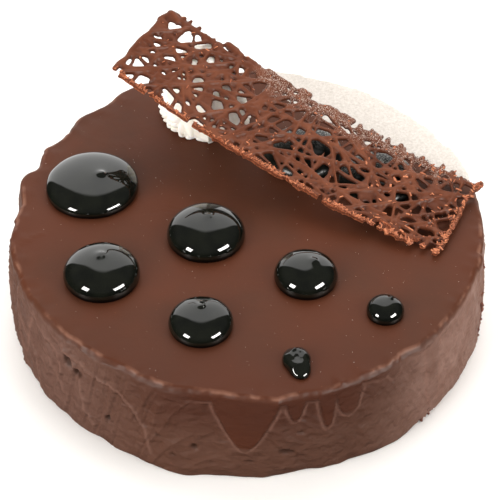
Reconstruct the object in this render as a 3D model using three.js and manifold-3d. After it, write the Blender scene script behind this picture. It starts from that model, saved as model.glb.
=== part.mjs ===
// A round devils food cake, whole and uncut, under a poured chocolate glaze.
//
// Pieces, each a closed body of its own:
//   cake_body          the glazed cake: flat base, leaning side with drips, rounded rim, flat top
//   glaze_drop_1 .. 9  black glossy drops set down on the glaze, in falling sizes
//   piped_cream        the ruffled cream mound that carries the high end of the lattice
//   chocolate_lattice  the drizzled panel, bent like a shallow bow and leaning on the cream
//
// Millimetres, +Z up. The cake stands on z = 0 and its axis is the Z axis. The front of the
// cake is at -Y. Each piece that lies on another keeps a REST_GAP below it.

import * as THREE from 'three';
import { mergeVertices } from 'three/addons/utils/BufferGeometryUtils.js';
import Module from 'manifold-3d';

const wasm = await Module();
wasm.setup();

const DEGREE = Math.PI / 180;
const FULL_TURN = 2 * Math.PI;
const REST_GAP = 0.3;

// ---- the glazed body ---------------------------------------------------------------------
const CAKE = {
  height: 56,
  rimRadius: 121.3, // widest circle of the rounded rim
  baseRadius: 125.2,
  bellyBulge: 0.9, // the side is a little fuller at mid height
  rimRound: 3.2, // radius of the roll of glaze between side and top
  footRound: 0.7,
  segments: 160,
  sideRings: 7,
};

// Lobes of glaze that stand out of the rim and run down as soft ribs. The deep ones are at
// the back left, where the glaze was pushed over the edge with a palette knife.
const RIM_LOBES = [
  { angle: 108, halfWidth: 6, reach: 1.6 },
  { angle: 122, halfWidth: 7, reach: 4.8 },
  { angle: 139, halfWidth: 6, reach: 2.4 },
  { angle: 154.5, halfWidth: 4, reach: 1.4 },
  { angle: 165.5, halfWidth: 4.5, reach: 2.8 },
  { angle: 188, halfWidth: 8, reach: 1.2 },
  { angle: 277, halfWidth: 2.6, reach: 1.0 },
  { angle: 20, halfWidth: 10, reach: 0.7 },
  { angle: 62, halfWidth: 8, reach: 1.0 },
  { angle: 84, halfWidth: 6, reach: 1.3 },
];
// Dips between the lobes, where the rim draws back.
const RIM_DIPS = [
  { angle: 147, halfWidth: 5, reach: 2.4 },
  { angle: 160, halfWidth: 3, reach: 3.0 },
  { angle: 177, halfWidth: 6, reach: 2.6 },
  { angle: 131, halfWidth: 3, reach: 1.2 },
  { angle: 236, halfWidth: 16, reach: 2.8 },
  { angle: 263, halfWidth: 7, reach: 3.2 },
  { angle: 305, halfWidth: 24, reach: 1.4 },
];
// Where the glaze gathered at the foot, and where less of it arrived.
const FOOT_LOBES = [
  { angle: 215, halfWidth: 5, reach: 1.2 },
  { angle: 254, halfWidth: 9, reach: 2.6 },
  { angle: 303, halfWidth: 6, reach: 1.6 },
  { angle: 134, halfWidth: 7, reach: 1.3 },
  { angle: 48, halfWidth: 8, reach: 1.2 },
];
const FOOT_DIPS = [
  { angle: 283, halfWidth: 8, reach: 0.9 },
  { angle: 90, halfWidth: 9, reach: 0.8 },
];
const FOOT_FADE = 26; // height at which the lobes of the foot have died out

// Runs of glaze down the side: a drip narrows from halfWidth at the rim to its round tip, by
// this power of the way up. A small power keeps its width and gives a blunt tip.
const DRIPS = [
  { angle: 269.3, halfWidth: 9.2, tipZ: 20, thickness: 1.5, taper: 0.75 },
  { angle: 280.6, halfWidth: 2.9, tipZ: 38, thickness: 1.2, taper: 0.45 },
  { angle: 288.0, halfWidth: 2.7, tipZ: 29, thickness: 1.5, taper: 0.4 },
  { angle: 293.2, halfWidth: 4.2, tipZ: 34.5, thickness: 1.3, taper: 0.35 },
  { angle: 305.2, halfWidth: 2.8, tipZ: 45, thickness: 1.1, taper: 0.45 },
  { angle: 317.6, halfWidth: 2.7, tipZ: 9, thickness: 1.3, taper: 0.2 },
  { angle: 205, halfWidth: 4.5, tipZ: 14, thickness: 0.9, taper: 0.5 },
  { angle: 345, halfWidth: 3.2, tipZ: 31, thickness: 1.0, taper: 0.4 },
  { angle: 22, halfWidth: 6.5, tipZ: 24, thickness: 1.2, taper: 0.7 },
  { angle: 35, halfWidth: 3.0, tipZ: 12, thickness: 1.2, taper: 0.3 },
  { angle: 58, halfWidth: 3.4, tipZ: 33, thickness: 1.1, taper: 0.4 },
  { angle: 82, halfWidth: 8.0, tipZ: 17, thickness: 1.3, taper: 0.75 },
  { angle: 98, halfWidth: 3.0, tipZ: 28, thickness: 1.1, taper: 0.35 },
  { angle: 116, halfWidth: 4.0, tipZ: 36, thickness: 1.1, taper: 0.45 },
  { angle: 150, halfWidth: 5.0, tipZ: 22, thickness: 1.1, taper: 0.5 },
  { angle: 178, halfWidth: 3.2, tipZ: 30, thickness: 1.0, taper: 0.4 },
];

// ---- the black drops ---------------------------------------------------------------------
// x and y of the centre, radius at the widest circle, height over the glaze. The drops fall
// in size along a curve from the back to the front right.
const DROPS = [
  { x: -82.0, y: 22.3, radius: 24.5, height: 10.5 },
  { x: -72.7, y: -42.4, radius: 19.2, height: 12.3 },
  { x: -21.5, y: -14.0, radius: 20.0, height: 12.8 },
  { x: -22.5, y: -75.3, radius: 15.8, height: 9.6 },
  { x: 28.8, y: -43.6, radius: 15.9, height: 11.6 },
  { x: 67.0, y: -67.1, radius: 9.3, height: 7.8 },
  { x: 23.2, y: -98.6, radius: 6.9, height: 5.6, tail: { x: 1.8, y: -7.4, radius: 4.9 } },
  { x: 30.1, y: 46.9, radius: 21.3, height: 11.5 },
  { x: 68.7, y: 27.7, radius: 20.6, height: 8.8 },
];
const DROP_SHAPE = {
  widestAt: 0.28, // share of the height where the drop is widest: it overhangs its own foot
  tipHeight: 0.09, // the small peak left where the filling was cut off, as a share of the height
  tipWidth: 0.16,
  segments: 24,
  levels: [0.0, 0.28, 0.6, 0.85, 0.97],
};

// ---- the lattice panel -------------------------------------------------------------------
// u runs from the low right end (0) to the high left end (length), v from the near long edge
// to the far one, and w through the thickness.
const PANEL = {
  length: 194,
  width: 62,
  thickness: 3.2,
  lowEnd: { x: 110.0, y: -4.0, z: 59.7 }, // middle of the low end
  heading: 152.4 * DEGREE, // plan direction from the low end to the high end
  startSlope: 6.7 * DEGREE,
  bendRadius: 670, // the panel set on a curved former
  crossTilt: 2.9 * DEGREE, // the far edge is a little higher
  stations: 7,
};
const LATTICE = {
  seed: 59,
  // back-and-forth drizzle sweeps: direction from the long axis, mean distance apart, and the
  // u from which the sweep was drawn: the high half was gone over once more
  sweeps: [
    { direction: 58, spacing: 11.5, angleSpread: 18, offsetSpread: 4, from: 0 },
    { direction: 95, spacing: 12.5, angleSpread: 13, offsetSpread: 5, from: 0 },
    { direction: 14, spacing: 11, angleSpread: 15, offsetSpread: 4, from: 0 },
    { direction: 150, spacing: 12, angleSpread: 17, offsetSpread: 4, from: 0 },
    { direction: 122, spacing: 13, angleSpread: 16, offsetSpread: 4, from: 100 },
  ],
  strandWidth: [2.2, 3.6],
  shortestStrand: 7,
  raggedEnd: 3, // how far a strand may stop short of the edge
  // the near edge was cut straight: runs along it with breaks between, from this u upwards
  nearRun: { from: 42, length: [13, 30], gap: [2, 6], inset: 1.4 },
  // the far edge broke off: a wavy band with teeth that stick out of it
  farBand: { inset: [4.5, 9.5], length: [9, 16], width: [3.0, 4.6] },
  teeth: { inset: [0.6, 5.0], root: 10, lean: 3, apart: [4, 10], width: [2.6, 5.0] },
  endInset: 1.6,
  endSlant: 2, // the high end reaches further at its near corner
  strayPools: 8,
  strayPoolRadius: [2.6, 5.2],
  smallestHole: 3, // square millimetres: smaller gaps closed up as the chocolate set
  flatCorner: 0.12, // a corner that bends the outline less than this is dropped
};
// Places where the chocolate flooded the gaps between the strands.
const POOLS = [
  { u: 189, v: 25, radius: 5.5 },
  { u: 185, v: 12, radius: 5 },
  { u: 168, v: 2, radius: 4 },
  { u: 151, v: 14, radius: 5 },
  { u: 147, v: -11, radius: 6 },
  { u: 139, v: 25, radius: 6 },
  { u: 131, v: 24, radius: 5 },
  { u: 121, v: 16, radius: 6.5 },
  { u: 107, v: -19, radius: 4.5 },
  { u: 96, v: 25, radius: 5 },
  { u: 84, v: 26, radius: 5 },
  { u: 62, v: 26, radius: 5 },
  { u: 49, v: -14, radius: 5.5 },
  { u: 24, v: 22, radius: 5 },
  { u: 15, v: 0, radius: 4.5 },
  { u: 11, v: -12, radius: 4 },
];

// ---- the cream ---------------------------------------------------------------------------
const CREAM = {
  x: -24,
  y: 82,
  along: 27, // half length, in the direction of the panel
  across: 21,
  height: 44, // before the panel settles on it
  footScale: 0.95,
  ridges: 15,
  ridgeDepth: 0.055,
  twist: 2.4, // how far the ridges turn on the way up, radians
  ruffles: 5,
  ruffleDepth: 0.03,
  cutCorner: { angle: -84, halfWidth: 15, reach: 3.0 }, // the flat-cut end of the last rope
  segments: 60,
  levels: [0, 0.08, 0.2, 0.33, 0.46, 0.6, 0.74, 0.88],
};

// ---- colours -----------------------------------------------------------------------------
const GLAZE_BROWN = 0x6f4434;
const DROP_BLACK = 0x161914;
const LATTICE_BROWN = 0x6b3a2a;
const CREAM_WHITE = 0xf5efe4;

// ==========================================================================================
// Small helpers
// ==========================================================================================

// A repeatable stream of numbers between 0 and 1 (linear congruential).
function numberStream(seed) {
  let state = seed >>> 0;
  return () => {
    state = (Math.imul(state, 1664525) + 1013904223) >>> 0;
    return state / 4294967296;
  };
}

const between = (range, share) => range[0] + (range[1] - range[0]) * share;

// Smooth step from 0 to 1.
function smooth(value) {
  const t = Math.min(1, Math.max(0, value));
  return t * t * (3 - 2 * t);
}

// Signed difference of two angles in degrees, within -180 .. 180.
const angleApart = (a, b) => ((((a - b) % 360) + 540) % 360) - 180;

// A closed body from level rings, bottom to top, closed by a pole below and one above.
function ringSolid(rings, bottomPole, topPole) {
  const count = rings[0].length;
  const positions = [];
  for (const ring of rings) {
    for (const point of ring) {
      positions.push(...point);
    }
  }
  const bottom = rings.length * count;
  const top = bottom + 1;
  positions.push(...bottomPole, ...topPole);
  const faces = [];
  for (let i = 0; i < count; i += 1) {
    const next = (i + 1) % count;
    faces.push(bottom, next, i);
    for (let level = 0; level + 1 < rings.length; level += 1) {
      const low = level * count;
      const high = low + count;
      faces.push(low + i, low + next, high + next);
      faces.push(low + i, high + next, high + i);
    }
    const last = (rings.length - 1) * count;
    faces.push(top, last + i, last + next);
  }
  const geometry = new THREE.BufferGeometry();
  geometry.setAttribute('position', new THREE.Float32BufferAttribute(positions, 3));
  geometry.setIndex(faces);
  return geometry;
}

function toManifold(geometry) {
  const bare = geometry.clone();
  bare.deleteAttribute('normal');
  bare.deleteAttribute('uv');
  const welded = mergeVertices(bare, 1e-4);
  return new wasm.Manifold(new wasm.Mesh({
    numProp: 3,
    vertProperties: new Float32Array(welded.attributes.position.array),
    triVerts: new Uint32Array(welded.index.array),
  }));
}

// ==========================================================================================
// The glazed body
// ==========================================================================================

// Sum of smooth bells around the rim, in millimetres.
function bells(list, angle) {
  let sum = 0;
  for (const bell of list) {
    const away = angleApart(angle, bell.angle) / bell.halfWidth;
    sum += bell.reach * Math.exp(-away * away);
  }
  return sum;
}

// How far the glaze stands out over the plain side at a height: rim lobes fade downward, foot
// lobes fade upward, and every drip adds its own thickness inside its outline.
function glazeRelief(angle, z) {
  const up = z / CAKE.height;
  const rim = (bells(RIM_LOBES, angle) - bells(RIM_DIPS, angle)) * (0.25 + 0.75 * smooth(up * 1.5));
  const foot = (bells(FOOT_LOBES, angle) - bells(FOOT_DIPS, angle)) * smooth(1 - z / FOOT_FADE);
  let thickest = 0;
  for (const drip of DRIPS) {
    const run = (z - drip.tipZ) / (CAKE.height - drip.tipZ);
    if (run > 0) {
      const halfWidth = drip.halfWidth * Math.pow(run, drip.taper);
      const inside = 1 - Math.abs(angleApart(angle, drip.angle)) / halfWidth;
      thickest = Math.max(thickest, drip.thickness * smooth(inside * 2.2) * smooth(run * 6));
    }
  }
  return rim + foot + thickest;
}

// Radius of the plain side at a height.
function sideRadius(z) {
  const up = z / CAKE.height;
  const lean = CAKE.baseRadius + (CAKE.rimRadius - CAKE.baseRadius) * up;
  return lean + CAKE.bellyBulge * Math.sin(Math.PI * up);
}

function cakeBody() {
  const shoulderZ = CAKE.height - CAKE.rimRound;
  const stations = [{ z: 0, draw: CAKE.footRound }];
  for (let ring = 0; ring < CAKE.sideRings; ring += 1) {
    const up = ring / (CAKE.sideRings - 1);
    stations.push({ z: CAKE.footRound + (shoulderZ - CAKE.footRound) * up, draw: 0 });
  }
  for (const turn of [30, 60, 90]) {
    stations.push({
      z: shoulderZ + CAKE.rimRound * Math.sin(turn * DEGREE),
      draw: CAKE.rimRound * (1 - Math.cos(turn * DEGREE)),
    });
  }
  const rings = stations.map((station) => {
    const ring = [];
    for (let i = 0; i < CAKE.segments; i += 1) {
      const degrees = (360 * i) / CAKE.segments;
      const radius = sideRadius(Math.min(station.z, shoulderZ)) - station.draw
        + glazeRelief(degrees, Math.min(station.z, shoulderZ));
      ring.push([
        radius * Math.cos(degrees * DEGREE),
        radius * Math.sin(degrees * DEGREE),
        station.z,
      ]);
    }
    return ring;
  });
  return ringSolid(rings, [0, 0, 0], [0, 0, CAKE.height]);
}

// ==========================================================================================
// The black drops
// ==========================================================================================

// A drop is an ellipsoid cut off under its widest circle, so the glaze meets it in an
// undercut, with a small peak on top. A drop with a tail is drawn out towards one side.
function glazeDrop(drop) {
  const foot = CAKE.height + REST_GAP;
  const middle = drop.height * DROP_SHAPE.widestAt;
  const semiHeight = drop.height - middle;
  const rings = DROP_SHAPE.levels.map((share) => {
    const height = share * drop.height;
    const shrink = Math.sqrt(1 - ((height - middle) / semiHeight) ** 2);
    const peak = Math.exp(-((shrink / DROP_SHAPE.tipWidth) ** 2));
    const ring = [];
    for (let i = 0; i < DROP_SHAPE.segments; i += 1) {
      const turn = (FULL_TURN * i) / DROP_SHAPE.segments;
      let radius = drop.radius;
      if (drop.tail) {
        const tailTurn = Math.atan2(drop.tail.y, drop.tail.x);
        const facing = Math.cos(turn - tailTurn);
        const tailReach = Math.hypot(drop.tail.x, drop.tail.y) + drop.tail.radius;
        radius += (tailReach - drop.radius) * Math.max(0, facing) ** 5;
      }
      ring.push([
        drop.x + radius * shrink * Math.cos(turn),
        drop.y + radius * shrink * Math.sin(turn),
        foot + height + peak * DROP_SHAPE.tipHeight * drop.height,
      ]);
    }
    return ring;
  });
  const tip = foot + drop.height * (1 + DROP_SHAPE.tipHeight);
  return ringSolid(rings, [drop.x, drop.y, foot], [drop.x, drop.y, tip]);
}

// ==========================================================================================
// The lattice panel
// ==========================================================================================

// Part of the line through (u, v) in a direction that lies inside the drizzled area, which
// starts at the given u and ends short of the broken far edge.
function clipToPanel(u, v, du, dv, from) {
  let start = -1e6;
  let end = 1e6;
  const far = PANEL.width / 2 - LATTICE.farBand.inset[0];
  const walls = [
    [du, from - u, PANEL.length - u],
    [dv, -PANEL.width / 2 - v, far - v],
  ];
  for (const [slope, low, high] of walls) {
    const first = low / slope;
    const second = high / slope;
    start = Math.max(start, Math.min(first, second));
    end = Math.min(end, Math.max(first, second));
  }
  return [start, end];
}

// All strands of the panel as straight pieces { u0, v0, u1, v1, width }, and the pools.
function latticeDesign() {
  const draw = numberStream(LATTICE.seed);
  const strands = [];
  const centreU = PANEL.length / 2;
  for (const sweep of LATTICE.sweeps) {
    const normal = (sweep.direction + 90) * DEGREE;
    const reach = (PANEL.length * Math.abs(Math.cos(normal))
      + PANEL.width * Math.abs(Math.sin(normal))) / 2;
    const lines = Math.floor((2 * reach) / sweep.spacing);
    for (let line = 0; line < lines; line += 1) {
      const offset = -reach + (line + 0.5) * sweep.spacing
        + (draw() * 2 - 1) * sweep.offsetSpread;
      const direction = (sweep.direction + (draw() * 2 - 1) * sweep.angleSpread) * DEGREE;
      const width = between(LATTICE.strandWidth, draw());
      const stopStart = draw() * LATTICE.raggedEnd;
      const stopEnd = draw() * LATTICE.raggedEnd;
      const u = centreU + offset * Math.cos(normal);
      const v = offset * Math.sin(normal);
      const du = Math.cos(direction);
      const dv = Math.sin(direction);
      const [start, end] = clipToPanel(u, v, du, dv, sweep.from);
      const from = start + stopStart;
      const to = end - stopEnd;
      if (to - from > LATTICE.shortestStrand) {
        strands.push({
          u0: u + du * from, v0: v + dv * from, u1: u + du * to, v1: v + dv * to, width,
        });
      }
    }
  }
  const half = PANEL.width / 2;
  const { nearRun, farBand, teeth } = LATTICE;
  for (let u = nearRun.from; u < PANEL.length - 8;) {
    const end = Math.min(u + between(nearRun.length, draw()), PANEL.length - 1.5);
    const v0 = nearRun.inset * (0.7 + 0.6 * draw()) - half;
    const v1 = nearRun.inset * (0.7 + 0.6 * draw()) - half;
    const width = between(LATTICE.strandWidth, draw());
    strands.push({ u0: u, v0, u1: end, v1, width });
    u = end + between(nearRun.gap, draw());
  }
  let bandV = half - between(farBand.inset, 0.5);
  for (let u = 1.5; u < PANEL.length - 4;) {
    const end = Math.min(u + between(farBand.length, draw()), PANEL.length - 1.5);
    const nextV = half - between(farBand.inset, draw());
    const width = between(farBand.width, draw());
    strands.push({ u0: u, v0: bandV, u1: end, v1: nextV, width });
    u = end;
    bandV = nextV;
  }
  for (const [side, from, to] of [[1, 2.5, PANEL.length - 2.5], [-1, 3, nearRun.from]]) {
    for (let u = from; u < to;) {
      const lean = (draw() * 2 - 1) * teeth.lean;
      const tip = half - between(teeth.inset, draw());
      const width = between(teeth.width, draw());
      strands.push({ u0: u, v0: side * (half - teeth.root), u1: u + lean, v1: side * tip, width });
      u += between(teeth.apart, draw());
    }
  }
  for (const [u, slant] of [[LATTICE.endInset, 0], [PANEL.length - LATTICE.endInset, LATTICE.endSlant]]) {
    const width = between(LATTICE.strandWidth, draw());
    const reach = half - 1.5;
    strands.push({ u0: u + slant, v0: -reach, u1: u, v1: reach - 4, width });
  }
  const pools = [...POOLS];
  for (let i = 0; i < LATTICE.strayPools; i += 1) {
    const u = 6 + (PANEL.length - 12) * draw();
    const v = (half - 8) * (2 * draw() - 1);
    pools.push({ u, v, radius: between(LATTICE.strayPoolRadius, draw()) });
  }
  return { strands, pools };
}

// A flat prism through the thickness of the panel, from its outline in u and v.
function slabPrism(outline) {
  const shape = new THREE.Shape(outline.map(([u, v]) => new THREE.Vector2(u, v)));
  const prism = new THREE.ExtrudeGeometry(shape, {
    depth: PANEL.thickness, bevelEnabled: false, steps: 1,
  });
  prism.translate(0, 0, -PANEL.thickness / 2);
  return toManifold(prism);
}

// Outline of a strand: a bar with a blunt point at each end.
function strandOutline(strand) {
  const du = strand.u1 - strand.u0;
  const dv = strand.v1 - strand.v0;
  const length = Math.hypot(du, dv);
  const along = [du / length, dv / length];
  const half = strand.width / 2;
  const point = (reach, side) => [
    strand.u0 + along[0] * reach - along[1] * side,
    strand.v0 + along[1] * reach + along[0] * side,
  ];
  return [
    point(-half * 0.5, 0), point(0, -half), point(length, -half),
    point(length + half * 0.5, 0), point(length, half), point(0, half),
  ];
}

function poolOutline(pool) {
  const outline = [];
  const sides = 9;
  for (let i = 0; i < sides; i += 1) {
    const turn = (FULL_TURN * i) / sides;
    const radius = pool.radius * (1 + 0.14 * Math.sin(3 * turn + pool.u));
    outline.push([pool.u + radius * Math.cos(turn), pool.v + radius * Math.sin(turn)]);
  }
  return outline;
}

// Splits every face that crosses the plane u = station, so the body can bend there.
function splitAcross(body, station) {
  const { points, faces } = body;
  let plane = station;
  while (points.some((point) => Math.abs(point[0] - plane) < 0.05)) {
    plane += 0.11;
  }
  const made = new Map();
  const crossing = (a, b) => {
    const key = a < b ? `${a}_${b}` : `${b}_${a}`;
    if (!made.has(key)) {
      const [low, high] = a < b ? [a, b] : [b, a];
      const share = (plane - points[low][0]) / (points[high][0] - points[low][0]);
      made.set(key, points.length);
      points.push(points[low].map((value, axis) => value + (points[high][axis] - value) * share));
    }
    return made.get(key);
  };
  const split = [];
  for (const face of faces) {
    const beyond = face.map((index) => points[index][0] > plane);
    const count = beyond.filter(Boolean).length;
    if (count === 0 || count === 3) {
      split.push(face);
    } else {
      const lone = beyond.indexOf(count === 1);
      const [a, b, c] = [face[lone], face[(lone + 1) % 3], face[(lone + 2) % 3]];
      const ab = crossing(a, b);
      const ac = crossing(a, c);
      split.push([a, ab, ac], [ab, b, c], [ab, c, ac]);
    }
  }
  return { points, faces: split };
}

// Height and run of the bent centre line at the distance u from the low end.
function bow(u) {
  const turn = PANEL.startSlope + u / PANEL.bendRadius;
  return {
    turn,
    run: PANEL.bendRadius * (Math.sin(turn) - Math.sin(PANEL.startSlope)),
    rise: PANEL.bendRadius * (Math.cos(PANEL.startSlope) - Math.cos(turn)),
  };
}

// Takes a point of the flat panel to its place on the cake.
function placeOnCake([u, v, w]) {
  const { turn, run, rise } = bow(u);
  const forward = run - w * Math.sin(turn);
  const up = rise + w * Math.cos(turn);
  const cross = v * Math.cos(PANEL.crossTilt);
  const { lowEnd, heading } = PANEL;
  return [
    lowEnd.x + forward * Math.cos(heading) + cross * Math.sin(heading),
    lowEnd.y + forward * Math.sin(heading) - cross * Math.cos(heading),
    lowEnd.z + up + v * Math.sin(PANEL.crossTilt),
  ];
}

// Height of the panel's underside over a place on the cake.
function panelUnderside(x, y) {
  const { lowEnd, heading } = PANEL;
  const dx = x - lowEnd.x;
  const dy = y - lowEnd.y;
  const run = dx * Math.cos(heading) + dy * Math.sin(heading);
  const cross = dx * Math.sin(heading) - dy * Math.cos(heading);
  const turn = Math.asin(run / PANEL.bendRadius + Math.sin(PANEL.startSlope));
  const rise = PANEL.bendRadius * (Math.cos(PANEL.startSlope) - Math.cos(turn));
  return lowEnd.z + rise + cross * Math.tan(PANEL.crossTilt)
    - (PANEL.thickness / 2) / Math.cos(turn);
}

// Closed outlines of the upper face of a flat body: its rim first, then its holes.
function upperOutlines(solid) {
  const mesh = solid.getMesh();
  const point = (index) => mesh.vertProperties.slice(index * mesh.numProp, index * mesh.numProp + 3);
  const onTop = (index) => point(index)[2] > PANEL.thickness / 2 - 1e-4;
  const directed = new Set();
  for (let i = 0; i < mesh.triVerts.length; i += 3) {
    const corners = [...mesh.triVerts.slice(i, i + 3)];
    if (corners.every(onTop)) {
      corners.forEach((a, k) => directed.add(`${a}_${corners[(k + 1) % 3]}`));
    }
  }
  const following = new Map();
  for (const edge of directed) {
    const [a, b] = edge.split('_').map(Number);
    if (!directed.has(`${b}_${a}`)) {
      following.set(a, b);
    }
  }
  const outlines = [];
  while (following.size > 0) {
    const [start] = following.keys();
    const outline = [];
    let index = start;
    while (following.has(index)) {
      const [u, v] = point(index);
      outline.push(new THREE.Vector2(u, v));
      const next = following.get(index);
      following.delete(index);
      index = next;
    }
    outlines.push(thinOut(outline));
  }
  return outlines
    .filter((outline) => Math.abs(THREE.ShapeUtils.area(outline)) > LATTICE.smallestHole)
    .sort((a, b) => Math.abs(THREE.ShapeUtils.area(b)) - Math.abs(THREE.ShapeUtils.area(a)));
}

// Drops the corners of an outline that hardly bend it.
function thinOut(outline) {
  let kept = outline;
  let before = Infinity;
  while (kept.length < before && kept.length > 3) {
    before = kept.length;
    const count = kept.length;
    const skip = kept.findIndex((corner, i) => {
      const last = kept[(i + count - 1) % count];
      const next = kept[(i + 1) % count];
      const chord = next.clone().sub(last);
      const offset = Math.abs(chord.cross(corner.clone().sub(last))) / Math.max(chord.length(), 1e-6);
      return offset < LATTICE.flatCorner || corner.distanceTo(next) < LATTICE.flatCorner;
    });
    if (skip >= 0) {
      kept = kept.filter((_, i) => i !== skip);
    }
  }
  return kept;
}

function chocolateLattice() {
  const { strands, pools } = latticeDesign();
  const prisms = [
    ...strands.map((strand) => slabPrism(strandOutline(strand))),
    ...pools.map((pool) => slabPrism(poolOutline(pool))),
  ];
  const parts = wasm.Manifold.union(prisms).decompose();
  const [largest] = parts.sort((a, b) => b.volume() - a.volume());
  const [rim, ...holes] = upperOutlines(largest);
  const panel = new THREE.Shape(rim);
  panel.holes = holes.map((hole) => new THREE.Path(hole));
  const slab = new THREE.ExtrudeGeometry(panel, {
    depth: PANEL.thickness, bevelEnabled: false, steps: 1,
  });
  slab.translate(0, 0, -PANEL.thickness / 2);
  slab.deleteAttribute('normal');
  slab.deleteAttribute('uv');
  const welded = mergeVertices(slab, 1e-4);
  const flat = welded.attributes.position;
  let body = {
    points: Array.from({ length: flat.count }, (_, i) => [flat.getX(i), flat.getY(i), flat.getZ(i)]),
    faces: Array.from({ length: welded.index.count / 3 }, (_, i) => [0, 1, 2].map(
      (corner) => welded.index.getX(3 * i + corner),
    )),
  };
  for (let station = 1; station <= PANEL.stations; station += 1) {
    body = splitAcross(body, (PANEL.length * station) / (PANEL.stations + 1));
  }
  const geometry = new THREE.BufferGeometry();
  const placed = body.points.flatMap((point) => placeOnCake(point));
  geometry.setAttribute('position', new THREE.Float32BufferAttribute(placed, 3));
  // u, v and w are a left-handed set here, so each face is turned over
  geometry.setIndex(body.faces.flatMap(([a, b, c]) => [a, c, b]));
  return geometry;
}

// ==========================================================================================
// The cream
// ==========================================================================================

// Reach of the cream's foot from its middle in a plan direction: an ellipse along the panel,
// with the corner of the cut rope end.
function creamReach(turn) {
  const aside = turn - (PANEL.heading - Math.PI);
  const ellipse = 1 / Math.hypot(Math.cos(aside) / CREAM.along, Math.sin(aside) / CREAM.across);
  const away = Math.abs(angleApart(turn / DEGREE, CREAM.cutCorner.angle));
  return ellipse + CREAM.cutCorner.reach * Math.max(0, 1 - away / CREAM.cutCorner.halfWidth);
}

function pipedCream() {
  const foot = CAKE.height + REST_GAP;
  const rings = CREAM.levels.map((share) => {
    const ring = [];
    const taper = share === 0 ? CREAM.footScale : Math.sqrt(1 - (0.9 * share) ** 2);
    for (let i = 0; i < CREAM.segments; i += 1) {
      const turn = (FULL_TURN * i) / CREAM.segments;
      const ridge = CREAM.ridgeDepth * Math.cos(CREAM.ridges * turn + CREAM.twist * share);
      const ruffle = CREAM.ruffleDepth * Math.cos(FULL_TURN * CREAM.ruffles * share);
      const reach = creamReach(turn) * taper * (1 + ridge + ruffle);
      const x = CREAM.x + reach * Math.cos(turn);
      const y = CREAM.y + reach * Math.sin(turn);
      const z = foot + share * CREAM.height;
      ring.push([x, y, Math.min(z, panelUnderside(x, y) - REST_GAP)]);
    }
    return ring;
  });
  const top = panelUnderside(CREAM.x, CREAM.y) - REST_GAP;
  return ringSolid(rings, [CREAM.x, CREAM.y, foot], [CREAM.x, CREAM.y, top]);
}

// ==========================================================================================
// The whole cake
// ==========================================================================================

function addPiece(group, name, geometry, color, roughness) {
  const faceted = geometry.index ? geometry.toNonIndexed() : geometry;
  faceted.computeVertexNormals();
  const mesh = new THREE.Mesh(faceted, new THREE.MeshStandardMaterial({ color, roughness }));
  mesh.name = name;
  group.add(mesh);
}

const cake = new THREE.Group();
cake.name = 'devils_food_cake';
addPiece(cake, 'cake_body', cakeBody(), GLAZE_BROWN, 0.35);
DROPS.forEach((drop, index) => {
  addPiece(cake, `glaze_drop_${index + 1}`, glazeDrop(drop), DROP_BLACK, 0.08);
});
addPiece(cake, 'piped_cream', pipedCream(), CREAM_WHITE, 0.6);
addPiece(cake, 'chocolate_lattice', chocolateLattice(), LATTICE_BROWN, 0.5);

export default cake;
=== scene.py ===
# %% [markdown]
# # A devils food cake, dressed for its portrait
# The cake, its drops, the cream and the chocolate lattice stand in their places as plain solids.
# This script loads them as a fixed frame and builds the fine surfaces round them: glaze with
# drips, glossy black drops, a drizzled panel with cut edges, ruffled cream and a drift of icing
# sugar. Sizes are millimetres, as a baker would measure them, and MM turns them into metres.

# %% Load the frame
import math

import bpy
import numpy as np
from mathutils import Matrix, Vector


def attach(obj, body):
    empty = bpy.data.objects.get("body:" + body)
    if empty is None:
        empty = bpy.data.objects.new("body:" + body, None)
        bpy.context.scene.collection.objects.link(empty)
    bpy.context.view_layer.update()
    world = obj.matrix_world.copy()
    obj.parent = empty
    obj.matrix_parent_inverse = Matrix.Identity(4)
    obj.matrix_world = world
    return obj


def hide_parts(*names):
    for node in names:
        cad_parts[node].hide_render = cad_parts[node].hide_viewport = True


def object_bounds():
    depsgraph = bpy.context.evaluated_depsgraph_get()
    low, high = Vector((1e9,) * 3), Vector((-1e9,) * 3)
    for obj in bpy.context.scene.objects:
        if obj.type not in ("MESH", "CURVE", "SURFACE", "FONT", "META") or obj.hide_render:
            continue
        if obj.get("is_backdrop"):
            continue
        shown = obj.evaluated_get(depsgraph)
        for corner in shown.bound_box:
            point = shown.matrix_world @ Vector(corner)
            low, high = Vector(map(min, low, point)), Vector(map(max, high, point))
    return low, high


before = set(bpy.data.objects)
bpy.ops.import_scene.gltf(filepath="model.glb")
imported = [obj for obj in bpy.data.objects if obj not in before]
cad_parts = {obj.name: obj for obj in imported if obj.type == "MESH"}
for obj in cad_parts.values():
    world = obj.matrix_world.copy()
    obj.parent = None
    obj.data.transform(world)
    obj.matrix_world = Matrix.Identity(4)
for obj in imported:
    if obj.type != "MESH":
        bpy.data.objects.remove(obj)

MM = 0.001
cad_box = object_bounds()
print("frame nodes:", sorted(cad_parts))

# %% [markdown]
# ## The camera
# The photographer looked down at about 45 degrees through a long lens, so the round rim shows as
# an ellipse. The numbers come from fitting a pinhole camera to the rim and the foot of the cake.

# %% Camera
LOOK_AT = (1.1036, 32.5279)
CAMERA_DISTANCE = 900.0
CAMERA_ELEVATION = math.radians(44.817)

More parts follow.
